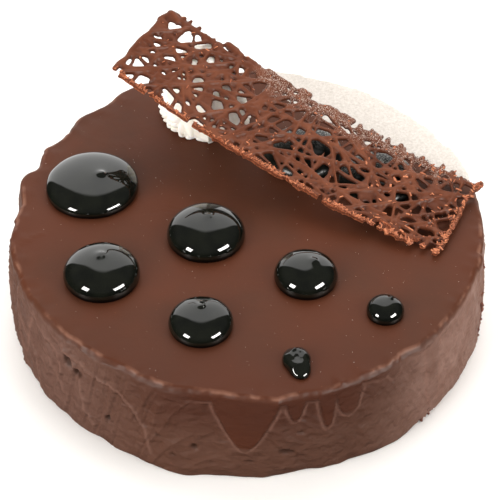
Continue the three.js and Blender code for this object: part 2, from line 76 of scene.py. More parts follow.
camera_data = bpy.data.cameras.new("portrait_camera")
camera_data.lens = 116.475
camera_data.sensor_width = 36.0
camera_data.clip_start = 0.05
camera = bpy.data.objects.new("portrait_camera", camera_data)
camera.location = (
    LOOK_AT[0] * MM,
    (LOOK_AT[1] - CAMERA_DISTANCE * math.cos(CAMERA_ELEVATION)) * MM,
    CAMERA_DISTANCE * math.sin(CAMERA_ELEVATION) * MM,
)
camera.rotation_euler = (math.pi / 2 - CAMERA_ELEVATION, 0, 0)
bpy.context.scene.collection.objects.link(camera)
bpy.context.scene.camera = camera
bpy.context.scene.view_settings.view_transform = "Standard"
print("camera at", [round(x, 4) for x in camera.location])

# %% [markdown]
# ## Tools for shapes
# Every surface is a set of whole numpy arrays. `smooth` eases one height into the next, `bell` is
# a soft bump, and `mottle` is the unevenness that hands, knives and setting chocolate leave.

# %% Shape helpers
def smooth(value):
    """Soft step: 3t^2 - 2t^3 with t held between 0 and 1."""
    t = np.clip(value, 0, 1)
    return t * t * (3 - 2 * t)


def bell(away):
    """Soft bump: e to the minus away squared, 1 in the middle."""
    return np.exp(-np.square(away))


def between(limits, share):
    return limits[0] + (limits[1] - limits[0]) * share


def apart(a, b):
    """Difference of two angles in degrees, between -180 and 180."""
    return (a - b + 540) % 360 - 180


def points_at(x, y, z=0.0):
    """One row for each point. A coordinate may be one number for all of them."""
    return np.stack(np.broadcast_arrays(x, y, z), 1)


def mottle(points, size, seed):
    """Random heights of -1..1 at the corners of cubes of this size, eased together in each cube."""
    cell = points / size
    base = np.floor(cell).astype(np.int64)
    part = smooth(cell - base)
    total = np.zeros(len(points))
    for corner in np.ndindex(2, 2, 2):
        key = (base + corner) @ np.array([73856093, 19349663, 83492791]) + seed * 15485863
        key = ((key ^ (key >> 13)) * 1274126177) & 0x7FFFFFFF
        height = ((key ^ (key >> 16)) % 10007) / 5003.0 - 1
        total += height * np.where(corner, part, 1 - part).prod(axis=1)
    return total


def layers(points, rows):
    """Mottles laid over each other: rows of strength, size in mm and seed."""
    return sum(strength * mottle(points, size, seed) for strength, size, seed in rows)


def number_stream(seed):
    """The repeatable stream of numbers between 0 and 1 that the solids were drawn with."""
    state = seed & 0xFFFFFFFF
    while True:
        state = (state * 1664525 + 1013904223) & 0xFFFFFFFF
        yield state / 4294967296


def ring_grid(first, second):
    """Every pair of two lists, as two flat arrays that run round each ring in turn."""
    return (a.ravel() for a in np.meshgrid(first, second, indexing="ij"))


def full_turn(count):
    return np.arange(count) * 2 * np.pi / count


# %% Mesh helpers
def put_mesh(name, points, faces, material, soft=True, **values):
    """A mesh from points in mm and faces with equal numbers of corners. values are attributes."""
    mesh = bpy.data.meshes.new(name)
    mesh.vertices.add(len(points))
    mesh.vertices.foreach_set("co", (points * MM).astype(np.float32).ravel())
    mesh.loops.add(faces.size)
    mesh.loops.foreach_set("vertex_index", faces.astype(np.int32).ravel())
    mesh.polygons.add(len(faces))
    starts = np.arange(0, faces.size, faces.shape[1], dtype=np.int32)
    mesh.polygons.foreach_set("loop_start", starts)
    mesh.polygons.foreach_set("use_smooth", np.full(len(faces), soft))
    mesh.update(calc_edges=True)
    for key, value in values.items():
        attribute = mesh.attributes.new(key, "FLOAT", "POINT")
        attribute.data.foreach_set("value", value.astype(np.float32))
    if material:
        mesh.materials.append(material)
    made = bpy.data.objects.new(name, mesh)
    bpy.context.scene.collection.objects.link(made)
    return made


def tube_faces(rows, around):
    """Triangles between rings of points, with a pole below the first ring and above the last.
    Ring r, place i is point r * around + i; the poles are the two points after the rings."""
    row, place = np.meshgrid(np.arange(rows - 1), np.arange(around), indexing="ij")
    low = (row * around + place).ravel()
    low_next = (row * around + (place + 1) % around).ravel()
    here = np.arange(around)
    after = (here + 1) % around
    bottom = np.full(around, rows * around)
    last = (rows - 1) * around
    return np.concatenate([
        np.stack([low, low_next, low_next + around], 1),
        np.stack([low, low_next + around, low + around], 1),
        np.stack([bottom, after, here], 1),
        np.stack([bottom + 1, last + here, last + after], 1),
    ])


def adopt(piece, slot, *nodes):
    """The piece rides with the cake and shows instead of these solids.
    The slot is not used.
    """
    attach(piece, "root")
    if nodes:
        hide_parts(*nodes)
    print(piece.name, len(piece.data.polygons), "faces")


# %% [markdown]
# ## Tools for finishes
# A finish is a small recipe of numbers that change over the surface. `Amount` lets such recipes
# be written as sums and products, and `Look` holds one finish and its nodes.

# %% Expressions for finishes
class Amount:
    """A number that varies over a surface. Python's own signs add the Math nodes for it."""

    def __init__(self, nodes, socket):
        self.nodes = nodes
        self.socket = socket

    def math(self, operation, *terms):
        return self.nodes.node("ShaderNodeMath", {"operation": operation}, dict(enumerate(terms)))

    def step(self, low, high):
        """Eases from 0 to 1 as this number goes from low to high."""
        sockets = {0: self, 1: low, 2: high, 3: 0.0, 4: 1.0}
        return self.nodes.node("ShaderNodeMapRange", {"interpolation_type": "SMOOTHSTEP"}, sockets)


def overload(sign, operation):
    """The sign between an Amount and anything, in either order, adds a Math node."""
    setattr(Amount, f"__{sign}__", lambda self, other: self.math(operation, self, other))
    setattr(Amount, f"__r{sign}__", lambda self, other: self.math(operation, other, self))


for sign, operation in (("add", "ADD"), ("sub", "SUBTRACT"), ("mul", "MULTIPLY")):
    overload(sign, operation)


class Nodes:
    """A node tree that is filled through one method."""

    def __init__(self, tree):
        self.tree = tree

    def node(self, kind, settings=None, sockets=None, output=0):
        """Adds a node, sets it up, then feeds its sockets with numbers, colours or Amounts."""
        made = self.tree.nodes.new(kind)
        for key, value in (settings or {}).items():
            setattr(made, key, value)
        for key, value in (sockets or {}).items():
            self.feed(made.inputs[key], value)
        return Amount(self, made.outputs[output])

    def feed(self, socket, value):
        if isinstance(value, Amount):
            self.tree.links.new(value.socket, socket)
        else:
            socket.default_value = value

    def axes(self, place):
        """The three coordinates of a place."""
        return [self.node("ShaderNodeSeparateXYZ", {}, {0: place}, output=name) for name in "XYZ"]


def tone(red, green, blue):
    """A colour as seen on screen (0..255) turned into light: about the power 2.2 of each share."""
    screen = np.array([red, green, blue]) / 255
    light = np.where(screen <= 0.04045, screen / 12.92, ((screen + 0.055) / 1.055) ** 2.4)
    return (*[float(x) for x in light], 1.0)


LAMP_GAIN = 1.25


def dark(red, green, blue):
    """A chocolate colour as it shows in the photo. The lamps are set for the cream and brighten
    dark things by the gain, so their own colour is that much deeper."""
    return (*[share / LAMP_GAIN for share in tone(red, green, blue)[:3]], 1.0)


class Look(Nodes):
    """One finish: a Principled shader and what feeds it. Patterns read Object coordinates."""

    def __init__(self, name):
        self.material = bpy.data.materials.new(name)
        self.material.use_nodes = True
        super().__init__(self.material.node_tree)
        self.shader = self.tree.nodes["Principled BSDF"]
        self.place = self.node("ShaderNodeTexCoord", output="Object")

    def moved(self, stretch=(1.0, 1.0, 1.0), turn=(0.0, 0.0, 0.0), shift=(0.0, 0.0, 0.0)):
        """The place, turned and stretched, for patterns with a grain."""
        return self.node("ShaderNodeMapping", {}, {0: self.place, 1: shift, 2: turn, 3: stretch})

    def noise(self, size, detail=3.0, roughness=0.5, seed=0, place=None, warp=0.0):
        """Cloudy noise of about this size in mm, from 0 to 1, thickest round 0.5."""
        sockets = {
            "Vector": place or self.place, "W": float(seed), "Scale": 1 / (size * MM),
            "Detail": detail, "Roughness": roughness, "Distortion": warp,
        }
        return self.node("ShaderNodeTexNoise", {"noise_dimensions": "4D"}, sockets)

    def grains(self, size):
        """Distance to the nearest of scattered points about this far apart, in shares of it."""
        return self.node("ShaderNodeTexVoronoi", {}, {"Vector": self.moved(), "Scale": 1 / (size * MM)})

    def value(self, name):
        """A number stored on the points of the mesh."""
        return self.node("ShaderNodeAttribute", {"attribute_name": name}, output="Fac")

    def blend(self, factor, first, second):
        """From the first colour to the second."""
        sockets = {0: factor, 6: first, 7: second}
        return self.node("ShaderNodeMix", {"data_type": "RGBA"}, sockets, output=2)

    def bump(self, height, depth, before=None):
        """Relief of this depth in mm, worked out in the shading only."""
        sockets = {"Height": height, "Distance": depth * MM, "Strength": 1.0}
        if before:
            sockets["Normal"] = before
        return self.node("ShaderNodeBump", {}, sockets)

    def wear(self, shader=None, **sockets):
        """Sets the shader's sockets, named with _ for a space, and gives the material back."""
        for key, value in sockets.items():
            self.feed((shader or self.shader).inputs[key.replace("_", " ")], value)
        return self.material


# %% [markdown]
# ## The glazed cake
# Poured glaze settles to a level top, rolls over the rim and runs down the side in tongues. So
# the side is one grid of angle and height: the plain leaning side, plus lobes at the rim, every
# drip with its border, and the folds and pits that show where the glaze slid over the crumb.

# %% Sizes of the cake
HEIGHT = 56.0
RIM_RADIUS, BASE_RADIUS = 121.3, 125.2
BELLY = 0.9
RIM_ROUND, FOOT_ROUND = 3.2, 0.7
SHOULDER = HEIGHT - RIM_ROUND
RIM_ARC = 2.1  # mm of the rim in one degree, nearly
BASE_ARC = math.radians(1) * BASE_RADIUS
# angle in degrees (0 is +X, 270 is the front), half width in degrees, reach in mm
RIM_LOBES = [
    (108, 6, 1.6), (122, 7, 4.8), (139, 6, 2.4), (154.5, 4, 1.4), (165.5, 4.5, 2.8), (188, 8, 1.2),
    (277, 2.6, 1.0), (20, 10, 0.7), (62, 8, 1.0), (84, 6, 1.3),
]
RIM_DIPS = [
    (147, 5, 2.4), (160, 3, 3.0), (177, 6, 2.6), (131, 3, 1.2), (236, 16, 2.8), (263, 7, 3.2),
    (305, 24, 1.4),
]
FOOT_LOBES = [(215, 5, 1.2), (254, 9, 2.6), (303, 6, 1.6), (134, 7, 1.3), (48, 8, 1.2)]
FOOT_DIPS = [(283, 8, 0.9), (90, 9, 0.8)]
FOOT_FADE = 26.0
# angle, half width at the rim, height of the tip, thickness, taper: a small one keeps a drip wide
DRIPS = [
    (269.3, 8.8, 19, 1.6, 0.62), (280.6, 2.9, 38, 1.2, 0.45), (288.0, 2.7, 29, 1.5, 0.4),
    (293.2, 4.2, 34.5, 1.3, 0.35), (305.2, 2.8, 45, 1.1, 0.45), (317.6, 2.7, 9, 1.3, 0.2),
    (205, 4.5, 14, 0.9, 0.5), (345, 3.2, 31, 1.0, 0.4), (22, 6.5, 24, 1.2, 0.7), (35, 3.0, 12, 1.2, 0.3),
    (58, 3.4, 33, 1.1, 0.4), (82, 8.0, 17, 1.3, 0.75), (98, 3.0, 28, 1.1, 0.35),
    (116, 4.0, 36, 1.1, 0.45), (150, 5.0, 22, 1.1, 0.5), (178, 3.2, 30, 1.0, 0.4),
]
# all along the front rim the thick glaze hangs a little way down before it parts into runs
CURTAIN = dict(middle=292, half=38, hem=50.0, thickness=1.1)
# the lip of a drip lies along an outline that is wider by degrees and lower by mm than the drip's,
# this many mm inside it and with this half width; along the hem it has a share of the strength
LIP = dict(wider=0.45, lower=1.2, inside=0.45, half=0.75, hem=0.6)
DRIP_WAVER, HEM_WAVER = [(0.22, 7.0, 13)], [(2.6, 11.0, 17)]  # strength, size, seed
DRIP_SHADE_FRONT = dict(middle=290, half=60, fade=12)  # degrees: at the front the drips get painted shade, a darker colour
# angle, height, half width and half height in mm, depth: where the glaze missed the crumb
PITS = [
    (224.0, 40.6, 2.8, 3.8, 2.0), (226.8, 36.2, 3.4, 2.8, 1.5), (236.3, 18.2, 1.3, 1.8, 2.0),
    (237.4, 16.8, 0.8, 1.0, 1.0), (243.6, 27.2, 1.5, 2.2, 0.7), (249.5, 21.8, 2.0, 1.6, 0.7),
    (253.2, 12.2, 1.5, 1.2, 0.7), (258, 19.0, 1.8, 1.6, 1.1), (262, 10, 2.0, 1.2, 0.5),
    (270.5, 12.2, 2.4, 1.1, 0.7), (278.5, 18.2, 4.2, 2.3, 1.0), (280.2, 16.6, 1.4, 1.6, 0.6),
    (281.8, 29.9, 2.6, 1.1, 0.7), (316.4, 5.7, 1.2, 1.0, 0.7), (20, 30, 1.6, 2.2, 0.9),
    (100, 22, 2.0, 1.4, 0.8), (68, 14, 1.5, 2.0, 0.8), (172, 18, 1.4, 2.2, 0.8), (340, 24, 1.5, 2.6, 0.7),
]
# ridges where the glaze buckled: height and half width in mm, then angle and height of the bends
RIDGES = [
    (0.75, 0.8, [(222.2, 49.1), (225.1, 41.8), (227.5, 37.5), (228.5, 26.4), (229.6, 16.7), (231.9, 8.4)]),
    (0.60, 0.9, [
        (216, 52), (221.4, 47.3), (225.8, 44.2), (231.3, 41.7), (238.0, 39.7), (243, 33.4), (246.3, 22.9),
        (248, 9),
    ]),
    (0.65, 1.1, [(203, 33), (209.1, 28.3), (211.8, 25.0), (212.2, 11.1), (213.5, 4)]),
    (0.55, 1.0, [(210, 49), (217.5, 43.9), (220.4, 40.8), (221.5, 30)]),
    (0.45, 1.0, [(216, 36), (219.9, 26.0), (222.1, 20.7), (224.2, 16.3)]),
    (-0.50, 0.9, [(239.4, 38.0), (237.8, 29.0), (236.5, 19.8)]),
    (0.45, 0.9, [(326, 50), (325, 38), (322, 24), (321.5, 8)]),
    (0.60, 1.0, [(335, 51), (333, 40), (330.5, 22), (331, 6)]),
    (0.50, 0.9, [(346, 46), (342, 30), (343, 14)]),
    (0.55, 1.0, [(5, 50), (8, 36), (12, 20), (11, 7)]),
    (0.55, 1.0, [(70, 48), (66, 30), (68, 22), (64, 8)]),
    (0.60, 1.0, [(128, 50), (132, 34), (131, 20), (135, 6)]),
    (0.55, 1.1, [(164, 48), (168, 34), (166, 18), (170, 6)]),
    (0.60, 1.0, [(190, 50), (194, 38), (193, 22), (196, 8)]),
]
# where a strip of glaze broke off and the crumb shows: half width in mm, then its bends
BARE_STRIPS = [
    (2.0, [(349.5, 45), (348, 30), (346, 20), (346.5, 10), (344, 2)]), (1.3, [(313.5, 1.0), (318.5, 1.2)]),
    (1.1, [(40, 8), (43, 3)]), (1.2, [(118, 1.2), (123, 2.0)]),
]
# where the flow is steeper than elsewhere: middle and half width in degrees
LEFT_FLOW, RIGHT_FLOW = (212, 26), (20, 60)
FLOW_ANGLES = (24, 46, 30)  # degrees off level, and how much more at the left and at the right
FLOW_STRETCH = 4.5  # the folds are this many times as long as wide
# strength in mm, how much more at the left, power of the ridges (0 leaves plain patches), squeeze
# along the flow, size in mm, seed
FOLDS = [
    (0.65, 0.45, 3, 1.0, 5.4, 11), (0.10, 0.10, 2, 1.4, 1.9, 12), (0.25, 0.4, 0, 1.0, 6.5, 16),
    (0.22, 0.0, 0, 1.6, 3.0, 18),
]
SHARPEST = 3  # the folds with this power get a painted highlight on their crests
FOLD_CREST_HIGHLIGHT, RIDGE_CREST_HIGHLIGHT = 0.16, 0.9  # shares of painted highlight on the crests
# dents and small bubbles on the flat top and at its edge: x, y, half width, depth
TOP_MARKS = [
    (41.2, -112.6, 1.6, 1.0), (44.4, -111.6, 1.0, -0.6), (69.0, -97.9, 1.4, -0.5), (70.6, -96.4, 1.1, 0.5),
    (92.0, -70.0, 3.0, 0.5),
]
# creases on the top: height and half width in mm, then x and y of the bends
TOP_RIDGES = [
    (0.45, 1.0, [(-119, -23), (-114.5, -18.5), (-110, -14), (-105, -11.5)]),
    (0.25, 1.4, [(-113, 30), (-109, 36), (-101, 40)]),
    (-0.10, 0.8, [(-60, 2), (-51.9, 3.4), (-43, 4.5), (-35.4, 8)]),
    (0.08, 1.0, [(-92, 66), (-76, 58), (-62, 57)]),
]
SKIN_SCALE, SKIN_HEIGHT = 122.0, 60.0  # mm: the unevenness is drawn on a drum of this radius, where
# this height of the cake takes up as much as the radius, so its patches are half as tall as wide
RIM_ROUGH_FROM = (44, 8)  # mm: height where the roughness under the rim starts, and over what
BARE_DEPTH = 0.7
TOP_RIM = dict(wave=(98, 16, 0.14), dent=(110, 7, 0.55))  # mm: from this radius, over what, depth
SUGAR_DEPTH = 0.30
RIM_HIGHLIGHT_LINE = (0.84, 0.15)  # painted highlight on the rounding of the rim: where, and half width, as shares of it
PIT_SHADE_DEPTH = 1.1  # mm: pits this deep get the full painted shade
# unevenness: strength in mm, size in mm, seed
SIDE_WAVES = [(0.26, 13.0, 21), (0.08, 3.6, 22)]
RIM_ROUGHNESS = [(0.55, 6.5, 25), (0.30, 2.9, 26)]
CRUMB_ROUGHNESS = [(0.35, 1.7, 23)]
FOOT_STEPS = [(0.8, 7.0, 24)]
TOP_WAVES = [(0.10, 46.0, 31), (0.04, 17.0, 32)]
SUGAR_ROUGHNESS = [(0.16, 3.0, 35), (0.10, 1.4, 36)]
FINE_SIDE = (198, 352)  # the front of the side gets the finer columns
FINE_STEP, WIDE_STEP = 0.36, 0.64
SIDE_ROWS, RIM_ROWS, TOP_ROWS = 84, 9, 26


# %% Relief of the glaze
def near_line(x, y, bends):
    """Distance from each point to a line with bends: the least of the distances to its pieces."""
    closest = np.full(len(x), np.inf)
    for (x0, y0), (x1, y1) in zip(bends[:-1], bends[1:]):
        dx, dy = x1 - x0, y1 - y0
        share = np.clip(((x - x0) * dx + (y - y0) * dy) / (dx**2 + dy**2), 0, 1)
        closest = np.minimum(closest, np.hypot(x - x0 - share * dx, y - y0 - share * dy))
    return closest


def on_side(angle, z, bends, waver):
    """Distance in mm along the side from a bent line given as angles and heights."""
    middle = bends[0][0]
    flat = [(apart(a, middle) * BASE_ARC, height) for a, height in bends]
    return near_line(apart(angle, middle) * BASE_ARC + waver, z, flat)


def side_radius(z):
    """Plain side: a straight lean from foot to rim with a half sine of belly on it."""
    return between((BASE_RADIUS, RIM_RADIUS), z / HEIGHT) + BELLY * np.sin(np.pi * z / HEIGHT)


def inside_run(away, z, half, tip, taper, lower=0.0):
    """(share of the run from its tip up, mm inward from its border) of one run of glaze, or of one
    that hangs lower by this many mm."""
    run = np.clip((z - tip + lower) / (HEIGHT - tip), 0, None)
    width = half * run**taper + 1e-3
    return run, (1 - away / width) * width * RIM_ARC * (run > 0)


def drip_cover(angle, z):
    """(thickness in mm, share of cover, share of lip) of the runs of glaze. Each narrows with the
    taper power of its run from the rim to its tip, and has a steep border with a thin lip on it."""
    thick, cover, lip = (np.zeros_like(angle) for _ in range(3))
    waver = layers(points_at(angle * 2, z), DRIP_WAVER)
    below_rim = smooth((HEIGHT - 4 - z) / 5)
    for middle, half, tip, depth, taper in DRIPS:
        away = np.abs(apart(angle, middle) + waver)
        run, inside = inside_run(away, z, half, tip, taper)
        thick = np.maximum(thick, depth * smooth(inside / 1.7) * smooth(run * 6))
        cover = np.maximum(cover, smooth(inside / 1.3 - 0.2) * smooth(run * 9))
        run, inside = inside_run(away, z, half + LIP["wider"], tip, taper, LIP["lower"])
        lip = np.maximum(lip, bell((inside - LIP["inside"]) / LIP["half"]) * (run > 0) * below_rim)
    hem = z - CURTAIN["hem"] - layers(points_at(angle * 2, 0.0), HEM_WAVER)
    front = smooth((CURTAIN["half"] - np.abs(apart(angle, CURTAIN["middle"]))) / 6)
    thick = np.maximum(thick, CURTAIN["thickness"] * smooth(hem / 2.2) * front)
    cover = np.maximum(cover, smooth(hem / 1.3) * front)
    lip = np.maximum(lip, LIP["hem"] * bell((hem + 0.3) / 0.8) * front)
    return thick, cover, lip * (1 - cover)


def lobes(angle, z):
    """Bells round the rim that fade downward, and bells round the foot that fade upward."""
    def bells(rows):
        return sum(r * bell(apart(angle, a) / w) for a, w, r in rows)

    rim = (bells(RIM_LOBES) - bells(RIM_DIPS)) * (0.25 + 0.75 * smooth(1.5 * z / HEIGHT))
    return rim + (bells(FOOT_LOBES) - bells(FOOT_DIPS)) * smooth(1 - z / FOOT_FADE)


def folds(angle, z, bare):
    """(relief in mm, share of painted highlight on the crests) of the creases where the glaze slid:
    ridged noise, stretched along the way it flowed, with the named ridges on it."""
    arc = np.radians(angle) * BASE_RADIUS
    left, right = (bell(apart(angle, middle) / half) for middle, half in (LEFT_FLOW, RIGHT_FLOW))
    level, more_left, more_right = FLOW_ANGLES
    steep = np.radians(level + more_left * left + more_right * right)
    along = arc * np.cos(steep) - z * np.sin(steep)
    across = arc * np.sin(steep) + z * np.cos(steep)
    warp = mottle(points_at(arc, z * 1.3), 17.0, 3) * 2.6
    flow = points_at(along / FLOW_STRETCH, across + warp)
    relief, pale = np.zeros_like(angle), np.zeros_like(angle)
    for strength, more, power, squeeze, size, seed in FOLDS:
        pattern = mottle(flow * [squeeze, 1, 1], size, seed)
        if power:
            pattern = (1 - np.abs(pattern)) ** power
        if power == SHARPEST:
            pale = FOLD_CREST_HIGHLIGHT * bare * pattern**2
        relief += bare * (strength + more * left) * pattern
    waver = 0.5 * mottle(points_at(arc, z), 5.0, 14)
    for height, half, bends in RIDGES:
        away = on_side(angle, z, bends, waver)
        ridge = bell(away / (1.25 * half)) * smooth((HEIGHT - 2 - z) / 5)
        relief += 1.15 * height * ridge
        pale = np.maximum(pale, RIDGE_CREST_HIGHLIGHT * ridge * (height > 0))
    return relief, pale


def pits(angle, z):
    """Oval dents with a soft lip: a bell sunk in, and a wider, flatter one raised round it."""
    relief = np.zeros_like(angle)
    for middle, height, half, tall, depth in PITS:
        x = np.radians(apart(angle, middle)) * BASE_RADIUS / half
        y = (z - height) / tall
        away = np.sqrt(x * x + y * y + 0.5 * x * y)
        relief += depth * (0.22 * bell((away - 1.5) / 0.6) - bell(away**1.5))
    return relief


def bare_strips(angle, z):
    """Share of crumb that shows where the glaze broke off, with a ragged border."""
    waver = mottle(points_at(angle * 2.2, z), 2.6, 15)
    strips = [on_side(angle, z, bends, waver) / half for half, bends in BARE_STRIPS]
    return smooth(1.6 - np.min(strips, axis=0) + 0.4 * waver)


# %% [markdown]
# The sugar was sifted over the far side of the panel, so its edge on the cake follows the panel's
# far edge. The panel is an arc that starts at the low end and climbs along its heading.

# %% Where the icing sugar lies
PANEL_LENGTH, PANEL_WIDTH = 194.0, 62.0
HALF_WIDTH = PANEL_WIDTH / 2
BACK = -1.6  # the back of the panel, seen from the middle of its thickness
LOW_END = (110.0, -4.0, 59.7)
HEADING = math.radians(152.4)
START_SLOPE = math.radians(6.7)
BEND_RADIUS = 670.0
CROSS_TILT = math.radians(2.9)
SUGAR_EDGE = 35  # mm from the panel's middle line
SUGAR_BULGE = (4, 44, 9)  # mm further back, place along the panel, half width
SUGAR_RETREATS = [(9, 60, 45), (20, 112, 36)]  # mm further back, where it starts, over what length
SUGAR_WANDER = [(2.5, 9.0, 41), (1.5, 3.0, 42)]


def along_panel(x, y):
    """(mm along the panel from its low end, mm to its far side) of a place on the cake."""
    dx, dy = x - LOW_END[0], y - LOW_END[1]
    run = dx * math.cos(HEADING) + dy * math.sin(HEADING)
    return run, dx * math.sin(HEADING) - dy * math.cos(HEADING)


def sugar_cover(x, y, spread=5.0):
    """Share of cover, 0..1, with an edge that is this soft in mm."""
    run, cross = along_panel(x, y)
    back, middle, half = SUGAR_BULGE
    edge = SUGAR_EDGE + back * bell((run - middle) / half)
    edge += sum(back * smooth((run - start) / length) for back, start, length in SUGAR_RETREATS)
    return smooth((cross + layers(points_at(x, y), SUGAR_WANDER) - edge) / spread + 0.5)


def top_relief(x, y):
    """The level top is never quite level: long low waves, a few marks, a soft drift of sugar at the
    back, and dents along the rim."""
    place = points_at(x, y)
    reach = np.hypot(x, y)
    wave, dent = (depth * smooth((reach - start) / over) for start, over, depth in TOP_RIM.values())
    height = layers(place, TOP_WAVES) + wave * mottle(place, 9.0, 33)
    height += dent * (mottle(place, 5.0, 34) - 0.3)
    for mark_x, mark_y, half, depth in TOP_MARKS:
        height -= depth * bell(np.hypot(x - mark_x, y - mark_y) / half)
    for tall, half, bends in TOP_RIDGES:
        height += tall * bell(near_line(x, y, bends) / half)
    return height + sugar_cover(x, y) * (SUGAR_DEPTH + layers(place, SUGAR_ROUGHNESS))


# %% The cake surface
def cake_columns():
    """Angles round the cake, closer together at the front, where the camera looks at the side."""
    low, high = FINE_SIDE
    rest = 360 - high + low
    count = round(rest / WIDE_STEP)
    return np.concatenate([np.arange(low, high, FINE_STEP), high + np.arange(count) * rest / count]) % 360


def cake_grid():
    """Points and attributes of the glazed body: rings from the foot up the side, round the rim by
    quarter circle, and in over the top, where each ring is a share of the rim ring's outline."""
    columns = cake_columns()
    around = len(columns)
    side_z = np.concatenate([[0.0, FOOT_ROUND / 2], np.linspace(FOOT_ROUND, SHOULDER, SIDE_ROWS)])
    turns = np.radians(np.linspace(0, 90, RIM_ROWS + 1)[1:])
    inner = np.linspace(1, 0, TOP_ROWS + 1)[1:-1]
    shares = 0.6 * inner + 0.4 * np.sin(inner * np.pi / 2)
    ring_z = np.concatenate([side_z, SHOULDER + RIM_ROUND * np.sin(turns), np.full(len(shares), HEIGHT)])
    inward = np.concatenate([
        np.clip(FOOT_ROUND - side_z, 0, None),
        RIM_ROUND * (1 - np.cos(turns)),
        np.full(len(shares), RIM_ROUND),
    ])
    share = np.concatenate([np.ones(len(ring_z) - len(shares)), shares])
    full_z, angle = ring_grid(ring_z, columns)
    z = np.minimum(full_z, SHOULDER)
    cos, sin = np.cos(np.radians(angle)), np.sin(np.radians(angle))
    thick, cover, lip = drip_cover(angle, z)
    beside = np.clip((SHOULDER + 1 - full_z) / 6, 0, 1)
    bare = bare_strips(angle, z) * beside
    skin = points_at(cos, sin, z / SKIN_HEIGHT) * SKIN_SCALE
    creases, pale = folds(angle, z, 1 - cover)
    dents = pits(angle, z) * beside
    uneven = creases * beside * smooth(z / 3) + dents + 0.12 * lip * beside
    under_rim = smooth((z - RIM_ROUGH_FROM[0]) / RIM_ROUGH_FROM[1])
    uneven += under_rim * layers(skin, RIM_ROUGHNESS) + layers(skin, SIDE_WAVES)
    uneven += bare * (layers(skin, CRUMB_ROUGHNESS) - BARE_DEPTH)
    uneven += layers(skin * [1, 1, 0], FOOT_STEPS) * smooth(1 - z / 7)
    radius = side_radius(z) + lobes(angle, z) + thick + uneven - np.repeat(inward, around)
    radius *= np.repeat(share, around)
    x, y = radius * cos, radius * sin
    top = np.repeat(np.clip((ring_z - SHOULDER) / RIM_ROUND, 0, 1), around)
    rings = points_at(x, y, full_z + top * top_relief(x, y))
    # the drip mark is painted shade, kept to the front
    front_half = DRIP_SHADE_FRONT["half"] - np.abs(apart(angle, DRIP_SHADE_FRONT["middle"]))
    front = smooth(front_half / DRIP_SHADE_FRONT["fade"])
    marks = {
        # crest is a painted highlight on the crests of the folds and ridges
        "drip": cover * (1 - top) * front, "lip": lip * beside, "bare": bare, "crest": pale * beside,
        # edge is a painted highlight, a line along the rounding of the rim
        "edge": bell((top - RIM_HIGHLIGHT_LINE[0]) / RIM_HIGHLIGHT_LINE[1]) * (top < 1),
        # painted shade in the pits, deeper for deeper pits
        "pit_shade": np.clip(-dents / PIT_SHADE_DEPTH, 0, 1),
    }
    marks = {name: np.append(mark, [0, 0]) for name, mark in marks.items()}
    return np.concatenate([rings, [[0, 0, 0.0], [0, 0, HEIGHT]]]), tube_faces(len(ring_z), around), marks


# %% [markdown]
# The glaze is a warm dark brown. On top it lies smooth and thick, a soft satin. The side only got
# a thin coat that set pale and dull, its colour partly its own and partly painted sheen, lighter
# still at the left and the right where the side lamps graze it. The thick glaze over it is coloured
# darker, at the front with painted shade, with a thin pale lip where it stopped. Painted shade also
# darkens the front of the top, the band under the front rim and the pits; a painted highlight runs
# along the rim and on the crests of the folds. Dust pricks all of it, and the icing sugar is a
# second, powdery shader.

# %% Finish of the glaze, with sugar over it
STREAK_TILT = (0.0, math.radians(24), 0.0)


